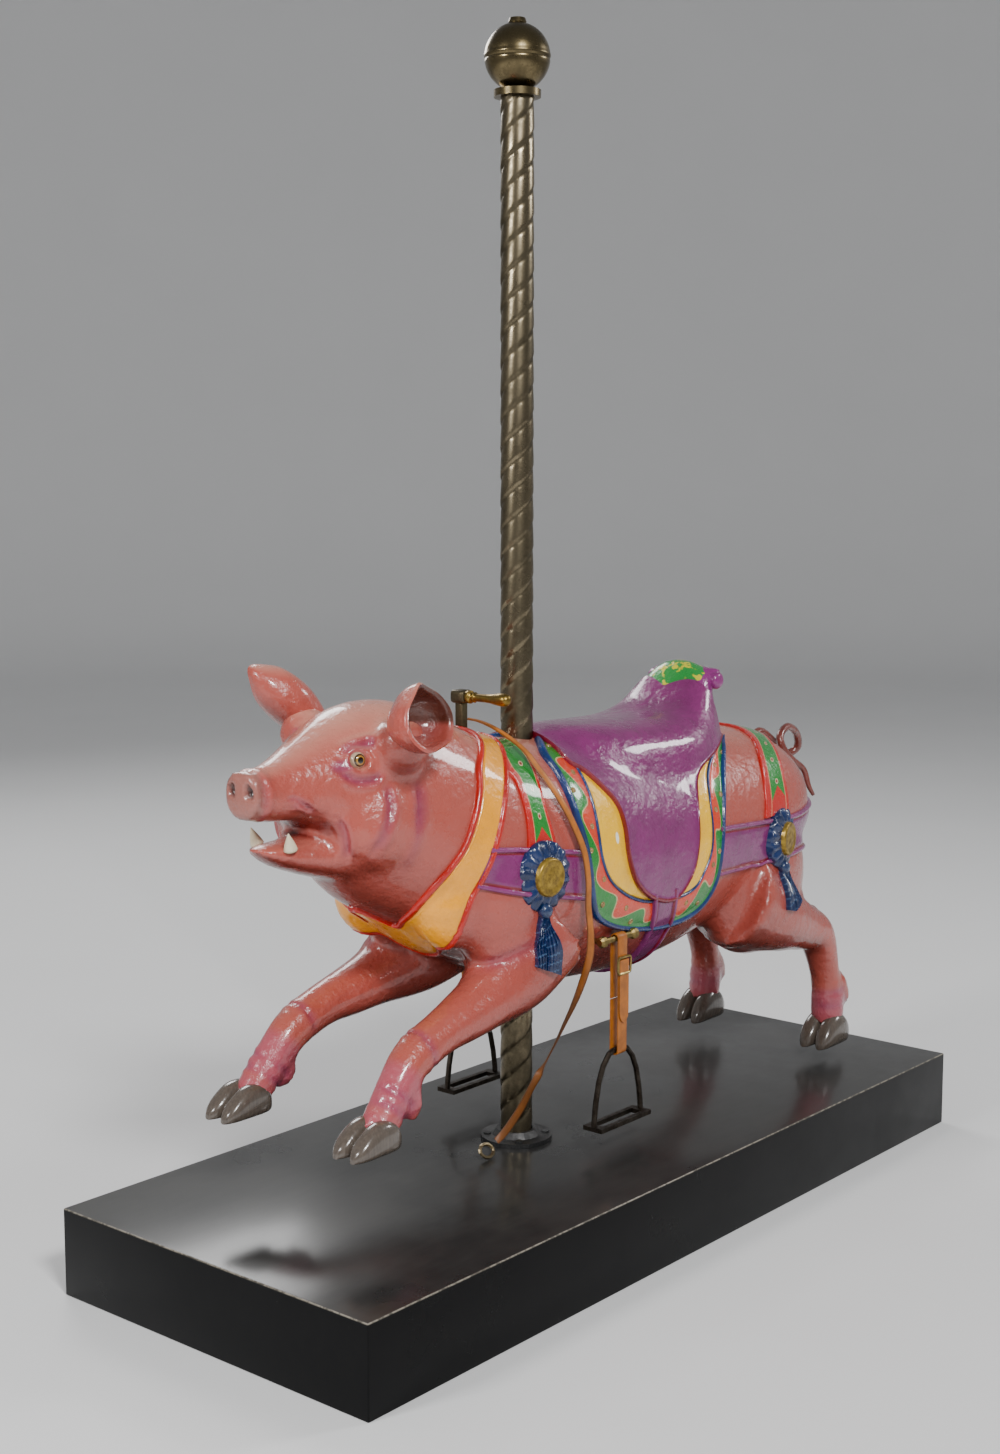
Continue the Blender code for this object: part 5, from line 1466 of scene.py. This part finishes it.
class CAROUSEL_PIG_OT_harness(bpy.types.Operator):
    """Lays the carved collar, blanket, straps and prize ribbons on the body"""

    bl_idname = "carousel_pig.harness"
    bl_label = "Harness"

    def execute(self, context):
        skin = Skin(bpy.data.objects["carved_pig"])
        red = plain_paint("collar_red_paint", (0.52, 0.010, 0.004), 0.02)
        yellow = plain_paint("collar_yellow_paint", (1.0, 0.39, 0.0), 0.0, dark=0.82)
        blue = plain_paint("piping_blue_paint", (0.003, 0.035, 0.17), 0.04, dark=0.45)
        orchid = plain_paint("strap_edge_paint", (0.24, 0.030, 0.155), 0.02)
        purple = plain_paint("strap_paint", (0.21, 0.020, 0.135), 0.02)
        maroon = plain_paint("line_maroon_paint", (0.22, 0.004, 0.022))
        panel = panel_paint()
        pieces = []

        def lay(name, edges, count, profiles, middle, marks, paints, lift=None):
            """One strip and its mirror image."""
            strip = laid_strip(name, skin, *edges, count, *profiles, middle, marks, lift)
            dressed(strip, 60.0, *paints)
            pieces.append(mirrored(strip))

        lay("collar", (COLLAR_FRONT, COLLAR_REAR), 110, (COLLAR_EDGE, COLLAR_EDGE), COLLAR_SPAN,
            ((0, 7), (1, 19), (0, 7)), (red, yellow))
        lay("blanket_border", (BLANKET_OUTER, BLANKET_INNER), 150, (ROPE, RIDGE), BORDER_SPAN,
            ((0, 6), (1, 8), (0, 6)), (blue, border_paint()))
        lay("yellow_panel", (BLANKET_INNER, PANEL_INNER), 100, (THIN_EDGE, THIN_EDGE),
            tuple((share, 0.34) for share in np.linspace(0.1, 0.9, 8)), ((0, 15),), (panel,))
        for name, edges, count, lift in (
                ("breast_strap", BREAST_STRAP, 56, None), ("rear_strap", REAR_STRAP, 56, None),
                ("girth", GIRTH, 40, ((0.0, 0.45), (0.22, 0.45), (0.36, 0.0), (1.0, 0.0)))):
            lay(name, edges, count, (BELT_EDGE, BELT_EDGE), FLAT,
                ((0, 5), (1, 3), (2, 8), (1, 3), (0, 5)), (orchid, maroon, purple), lift)
        pieces.append(saddle_roll())
        front = ribbon_paint("front_ribbon_paint", 18.2, 21.0)
        rear = ribbon_paint("rear_ribbon_paint", 21.6, 25.0)
        lay("front_ribbon", FRONT_RIBBON, 36, (THIN_EDGE, THIN_EDGE), FLAT, ((0, 16),), (front,))
        lay("rear_ribbon", REAR_RIBBON, 40, (THIN_EDGE, THIN_EDGE), FLAT, ((0, 16),), (rear,))
        pieces += [lay_flap(skin, purple, maroon), lay_bosses(skin), lay_rosettes(skin), lay_tassels(skin)]
        join("carved_pig", bpy.data.objects["carved_pig"], *pieces)
        return {"FINISHED"}


def saddle_roll():
    """The scroll rolled over along the top of the saddle's back."""
    ends = [(SCROLL_HALF_WIDTH + 0.35 - step, reach) for step, reach in SCROLL_END]
    rings = [[pig_point(SCROLL_ROLL[0] + reach * c, out, SCROLL_ROLL[1] + reach * s) for c, s in circle(32)]
             for out, reach in [(-a, b) for a, b in ends] + ends[::-1]]
    return dressed(lofted("saddle_scroll", rings), 60.0,
                   plain_paint("saddle_scroll_paint", tuple(looks().saddle), 0.02))


def lay_flap(skin, purple, maroon):
    """The saddle's flap, with a maroon line along its edge, from its outline up to the seat."""
    edge = skin.edge(FLAP, 90)
    heights = [(distance / 30.0, height) for distance, height in FLAP_EDGE]
    heights += [(share, 0.16 + 0.78 * (1.0 - share) ** 1.4) for share in np.linspace(0.04, 1.0, 24)]
    rows = []
    for spot, target in zip(edge, np.linspace(2.6, 39.5, len(edge))):
        along, out, high = to_carving(np.array(spot))
        turn = math.degrees(math.atan2(high - SADDLE_CENTRE, -out))
        row = []
        for share, height in heights:
            place, normal = skin.around(along + (target - along) * share, turn + (90.0 - turn) * share)
            row.append(place + normal * (height * CM))
        below, top = skin.nearest(row[0]), skin.nearest(row[-1])
        rows.append([below[0] - below[1] * (0.4 * CM)] + row + [top[0] - top[1] * (0.3 * CM)])
    count = len(rows[0])
    kinds = [1] * 6 + [0] * (count - 7)
    flap = grid_piece("saddle_flap", rows, kinds, run_along(edge), np.linspace(0.0, 1.0, count))
    dressed(flap, 60.0, purple, maroon)
    return mirrored(flap)


def lay_bosses(skin):
    """Small round bosses on the blanket's border, one to a lobe."""
    outer, inner = skin.edge(BLANKET_OUTER, 300), skin.edge(BLANKET_INNER, 300)
    run = run_along([(a + b) / 2 for a, b in zip(outer, inner)])
    bosses = []
    first = (0.5 * math.pi - LOBE_START) / (math.pi / LOBE)
    for lobe, place in enumerate(np.arange(first, run[-1], LOBE)):
        i = int(np.searchsorted(run, place))
        spot, normal = skin.nearest(outer[i].lerp(inner[i], 0.64 if lobe % 2 else 0.30))
        bosses.append(turned("boss", BOSS, spot, normal, 12))
    item = join("bosses", *bosses)
    dressed(item, 50.0, plain_paint("boss_paint", (0.38, 0.24, 0.08), 0.05, dark=0.35))
    return mirrored(item)


def lay_rosettes(skin):
    """Pleated prize rosettes, each with a raised gilt disc in its middle."""
    blue = plain_paint("rosette_blue_paint", (0.002, 0.022, 0.11), 0.05, dark=0.35)
    gold = metal("gilt_disc", (0.42, 0.27, 0.04), (0.09, 0.05, 0.01), 0.30, 0.8, 120.0, 0.6)
    made = []
    for (along, _, high), turn in ROSETTES:
        axis = Vector((math.sin(math.radians(turn)), -math.cos(math.radians(turn)), 0))
        across = Vector((0, 0, 1)).cross(axis)
        centre = skin.from_side(along, high)[0] + axis * (0.15 * CM)
        count = ROSETTE_PLEATS * 6
        rings = []
        for radius, level, pleat in ROSETTE:
            ring = []
            for k, (c, s) in enumerate(circle(count)):
                fold = 1.0 - abs(math.sin(ROSETTE_PLEATS * math.pi * k / count))
                reach = radius * (1.0 - 0.05 * pleat * fold)
                rise = level - 0.42 * pleat * fold ** 0.8
                spot = across * c + Vector((0, 0, 1)) * s
                ring.append(centre + (spot * reach + axis * rise) * CM)
            rings.append(ring)
        rosette = lofted("rosette", rings)
        rosette.data.polygons.foreach_set("material_index", [
            int(min(face.vertices) >= DISC_RING * count) for face in rosette.data.polygons])
        made.append(wear(rosette, blue, gold))
    item = join("rosettes", *made)
    smooth_shaded(item, 50.0)
    return mirrored(item)


def lay_tassels(skin):
    """Two ribbed ribbon tails under each rosette."""
    ribs = tuple((share, 0.80 + 0.16 * math.cos(share * math.pi * 8))
                 for share in np.linspace(0.02, 0.98, 25))
    side = ((0.0, 0.1), (0.03, 0.70), (0.10, 0.86))
    tails = []
    for number, edges in enumerate(TAIL_RIBBONS):
        extra = 0.25 * (number % 2)
        tails.append(laid_strip("ribbon_tail", skin, *edges, 16, side, side, ribs, ((0, 32),),
                                ((0.0, extra), (1.0, extra))))
    for along, high in KNOTS:
        spot, normal = skin.from_side(along, high)
        knot = turned("knot", KNOT, spot, normal, 24)
        knot.data.uv_layers.new(name="lay")
        tails.append(knot)
    item = join("ribbon_tails", *tails)
    dressed(item, 50.0, tail_paint())
    return mirrored(item)


def tail_paint():
    """Dark blue ribbon tails with fine light dashes across their ribs."""
    finish = Finish("ribbon_tail_paint")
    along, across = finish.lay("X"), finish.lay("Y")
    wave = finish.maths("SINE", along * 5.0 + across * 6.0)
    dashes = finish.rise(wave, 0.72, 0.95) * finish.rise(finish.noise(150.0, 2.0), 0.40, 0.50)
    cloud = finish.noise(60.0, 3.0, 0.6)
    blue = finish.mix(cloud, (0.002, 0.020, 0.10), (0.001, 0.008, 0.04))
    colour = finish.mix(dashes * 0.45, blue, (0.10, 0.20, 0.36))
    return varnished(finish, colour, 1.0)


class CAROUSEL_PIG_OT_finish_carving(bpy.types.Operator):
    """Joins all that is carved in the one block: body, ears, tail, hooves, teeth and harness"""

    bl_idname = "carousel_pig.finish_carving"
    bl_label = "One carving"

    def execute(self, context):
        pig = join("carved_pig", *(bpy.data.objects[name] for name in (
            "carved_pig", "ears", "curled_tail", "hooves", "teeth")))
        placed(pig, "pig_paint", "pig")
        return {"FINISHED"}


class CAROUSEL_PIG_OT_pole(bpy.types.Operator):
    """Adds the twisted brass pole with its ball and the flange at its foot"""

    bl_idname = "carousel_pig.pole"
    bl_label = "Pole"

    def execute(self, context):
        low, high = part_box("pole")
        ribs, depth = sizes().ribs, sizes().rib_depth
        rings = []
        for i in range(POLE_RINGS + 1):
            z = low.z + (high.z - low.z) * i / POLE_RINGS
            turn = 2 * math.pi * (z - low.z) / sizes().twist
            ring = []
            for k, (c, s) in enumerate(circle(POLE_SIDES)):
                angle = 2 * math.pi * k / POLE_SIDES
                wave = (ribs * (angle - turn) / (2 * math.pi)) % 1.0
                hollow = (1.0 - wave) ** 2
                groove = max(0.0, 1.0 - min(wave, 1.0 - wave) / RIB_GROOVE)
                sunk = hollow * RIB_WEIGHTS[0] + groove * RIB_WEIGHTS[1]
                radius = POLE_RADIUS - POLE_INSET - depth * sunk
                ring.append(Vector((POLE_X + radius * c, radius * s, z)))
            rings.append(ring)
        pole = lofted("twisted_pole", rings)
        brass = metal("pole_brass_aged", (0.22, 0.18, 0.115), (0.055, 0.047, 0.030), 0.22, 0.8, 14.0)
        dressed(pole, 60.0, brass)
        placed(pole, "pole_brass", "pole")
        self.ball()
        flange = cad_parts["pole_flange"]
        wear(flange, metal("flange_steel_dark", (0.11, 0.11, 0.11), (0.03, 0.03, 0.03), 0.42, 0.7))
        return {"FINISHED"}

    def ball(self):
        """The ball on the pole's top, with its collar, its seam and a small cap."""
        low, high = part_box("pole_ball")
        radius = (high.x - low.x) / 2
        centre = (high.z + low.z) / 2 + BALL_RISE
        profile = [(low.z + up, reach) for up, reach in BALL_COLLAR]
        first = math.pi - math.acos((low.z + BALL_START - centre) / radius)
        for i in range(61):
            angle = first + (math.pi - 0.26 - first) * i / 60
            profile.append((centre - radius * math.cos(angle), radius * math.sin(angle) * 0.997))
        for place, reach, spread in BALL_LINES:
            profile = [(z, r + reach * math.exp(-((z - centre - place) / spread) ** 2)) for z, r in profile]
        profile += [(high.z + down, reach) for down, reach in BALL_CAP]
        ball = turned("pole_ball_turned", profile, (POLE_X, 0, 0), (0, 0, 1), 64)
        brass = metal("ball_brass_aged", (0.20, 0.155, 0.08), (0.05, 0.04, 0.022), 0.16, 0.7, 22.0)
        dressed(ball, 40.0, brass)
        placed(ball, "ball_brass", "pole_ball")


class CAROUSEL_PIG_OT_fittings(bpy.types.Operator):
    """Adds the grip on the neck and the stirrups with their bars, leathers and irons"""

    bl_idname = "carousel_pig.fittings"
    bl_label = "Grip and stirrups"

    def execute(self, context):
        brass = metal("fitting_brass_aged", (0.42, 0.31, 0.11), (0.10, 0.07, 0.03), 0.30, 0.7, 60.0)
        bronze = metal("bronze_dark", (0.13, 0.105, 0.06), (0.035, 0.028, 0.018), 0.40, 0.8, 60.0)
        gold = metal("grip_brass_bright", (0.36, 0.24, 0.06), (0.11, 0.07, 0.02), 0.22, 0.7, 60.0)
        iron = metal("iron_blackened", (0.075, 0.062, 0.050), (0.02, 0.014, 0.010), 0.38, 0.8, 60.0)
        self.grip(bronze, gold)
        for side in ("left", "right"):
            wear(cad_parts["stirrup_bar_" + side], brass)
            wear(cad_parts["stirrup_buckle_" + side], brass)
            wear(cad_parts["stirrup_iron_" + side], iron)
            self.stirrup_leather(side)
        return {"FINISHED"}

    def grip(self, bronze, gold):
        """The grip's post with its head, and the turned handle."""
        low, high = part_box("grip_post")
        middle = (low + high) / 2
        half, deep = GRIP_STEM
        stem = block("grip_stem", (middle.x - half, -deep, low.z),
                     (middle.x + half, deep, high.z - 0.006), 0.0028, 3)
        head = block("grip_head", (low.x, low.y, high.z - GRIP_HEAD), high, 0.0055, 4)
        post = join("grip_bracket", head, stem)
        dressed(post, 40.0, bronze)
        placed(post, "grip_bronze", "grip_post")
        low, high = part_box("grip_handle")
        radius = (high.z - low.z) / 2
        place = Vector(((low.x + high.x) / 2, high.y, (low.z + high.z) / 2))
        length = high.y - low.y
        rows = even_points([(length * t, radius * r) for t, r in GRIP_SHAPE], 48)
        handle = turned("grip_turned_handle", rows, place, (0, -1, 0), 40)
        dressed(handle, 40.0, gold)
        placed(handle, "grip_brass", "grip_handle")

    def stirrup_leather(self, side):
        """The doubled strap over the bar and through the iron, with its pointed end outside."""
        low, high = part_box("stirrup_leather_" + side)
        way = -1 if side == "left" else 1
        x, y = (low.x + high.x) / 2, (low.y + high.y) / 2
        width = high.x - low.x - 0.0004
        half = STRAP_THICKNESS / 2
        bend = (high.y - low.y) / 2 - half
        over = circle(20)[:11]
        path = [(-bend, low.z + 0.09)]
        path += [(-bend * c, high.z - bend - half + bend * s) for c, s in over]
        path += [(bend * c, low.z + bend + half - bend * s) for c, s in over]
        path.append((-bend, low.z + 0.088))
        points = [(x, y + way * out, up) for out, up in path]
        last = len(points) - 1
        faces = [(Vector(points[min(i + 1, last)]) - Vector(points[max(i - 1, 0)])).cross(Vector((1, 0, 0)))
                 for i in range(last + 1)]
        loop = strap("stirrup_strap_" + side, points, faces, width, STRAP_THICKNESS)
        out = y + way * (bend + STRAP_THICKNESS + 0.0004)
        tongue = []
        for up, share in STRAP_END:
            spot = Vector((x, out, low.z + up))
            tongue.append([spot + Vector((sx * width / 2 * share, sy * half * 0.9, 0))
                           for sx, sy in ((-1, -1), (1, -1), (1, 1), (-1, 1))])
        end = lofted("strap_end", tongue)
        end.data.uv_layers.new(name="lay")
        item = join("stirrup_strap_" + side, loop, end)
        dressed(item, 35.0, strap_leather("leather_" + side))
        placed(item, "stirrup_leather", "stirrup_leather_" + side)


def strap_leather(name):
    """Tan leather of the stirrup straps."""
    finish = Finish(name)
    cloud = finish.noise(60.0, 4.0, 0.6)
    colour = finish.mix(finish.rise(cloud, 0.3, 0.75), looks().leather, times(looks().leather, 0.6))
    return finish.finish(colour=colour, rough=0.45, normal=finish.bump(finish.noise(500.0), 0.25, 0.0005))


class CAROUSEL_PIG_OT_stand(bpy.types.Operator):
    """Adds the black box stand"""

    bl_idname = "carousel_pig.stand"
    bl_label = "Stand"

    def execute(self, context):
        stand = block("black_stand", STAND_LOW, STAND_HIGH, 0.0022, 3)
        dressed(stand, 30.0, stand_paint())
        placed(stand, "stand_paint", "stand")
        return {"FINISHED"}


OPERATORS = (
    CAROUSEL_PIG_OT_stage, CAROUSEL_PIG_OT_rein, CAROUSEL_PIG_OT_stand, CAROUSEL_PIG_OT_pole,
    CAROUSEL_PIG_OT_body, CAROUSEL_PIG_OT_ears, CAROUSEL_PIG_OT_face, CAROUSEL_PIG_OT_tail,
    CAROUSEL_PIG_OT_hooves, CAROUSEL_PIG_OT_harness, CAROUSEL_PIG_OT_finish_carving,
    CAROUSEL_PIG_OT_fittings,
)


class CAROUSEL_PIG_PT_panel(bpy.types.Panel):
    """Lists the pieces of the carousel pig with their sizes and colours"""

    bl_idname = "CAROUSEL_PIG_PT_panel"
    bl_label = "Carousel Pig"
    bl_space_type = "VIEW_3D"
    bl_region_type = "UI"
    bl_category = "Carousel Pig"

    def draw(self, context):
        for group in (looks(), sizes()):
            box = self.layout.box()
            for name in group.__annotations__:
                box.prop(group, name)
        for operator in OPERATORS:
            self.layout.operator(operator.bl_idname)


CLASSES = (CarouselPigLooks, CarouselPigSizes, *OPERATORS, CAROUSEL_PIG_PT_panel)


def register():
    """Adds the classes and the two groups of settings."""
    for item in CLASSES:
        bpy.utils.register_class(item)
    bpy.types.Scene.carousel_pig_looks = bpy.props.PointerProperty(type=CarouselPigLooks)
    bpy.types.Scene.carousel_pig_sizes = bpy.props.PointerProperty(type=CarouselPigSizes)


def unregister():
    """Takes the settings and the classes away."""
    del bpy.types.Scene.carousel_pig_sizes
    del bpy.types.Scene.carousel_pig_looks
    for item in reversed(CLASSES):
        bpy.utils.unregister_class(item)


def main():
    """Builds the scene piece by piece."""
    register()
    bpy.ops.carousel_pig.stage()
    bpy.ops.carousel_pig.rein()
    bpy.ops.carousel_pig.stand()
    bpy.ops.carousel_pig.pole()
    bpy.ops.carousel_pig.body()
    bpy.ops.carousel_pig.ears()
    bpy.ops.carousel_pig.face()
    bpy.ops.carousel_pig.tail()
    bpy.ops.carousel_pig.hooves()
    bpy.ops.carousel_pig.harness()
    bpy.ops.carousel_pig.finish_carving()
    bpy.ops.carousel_pig.fittings()


if __name__ == "__main__":
    main()
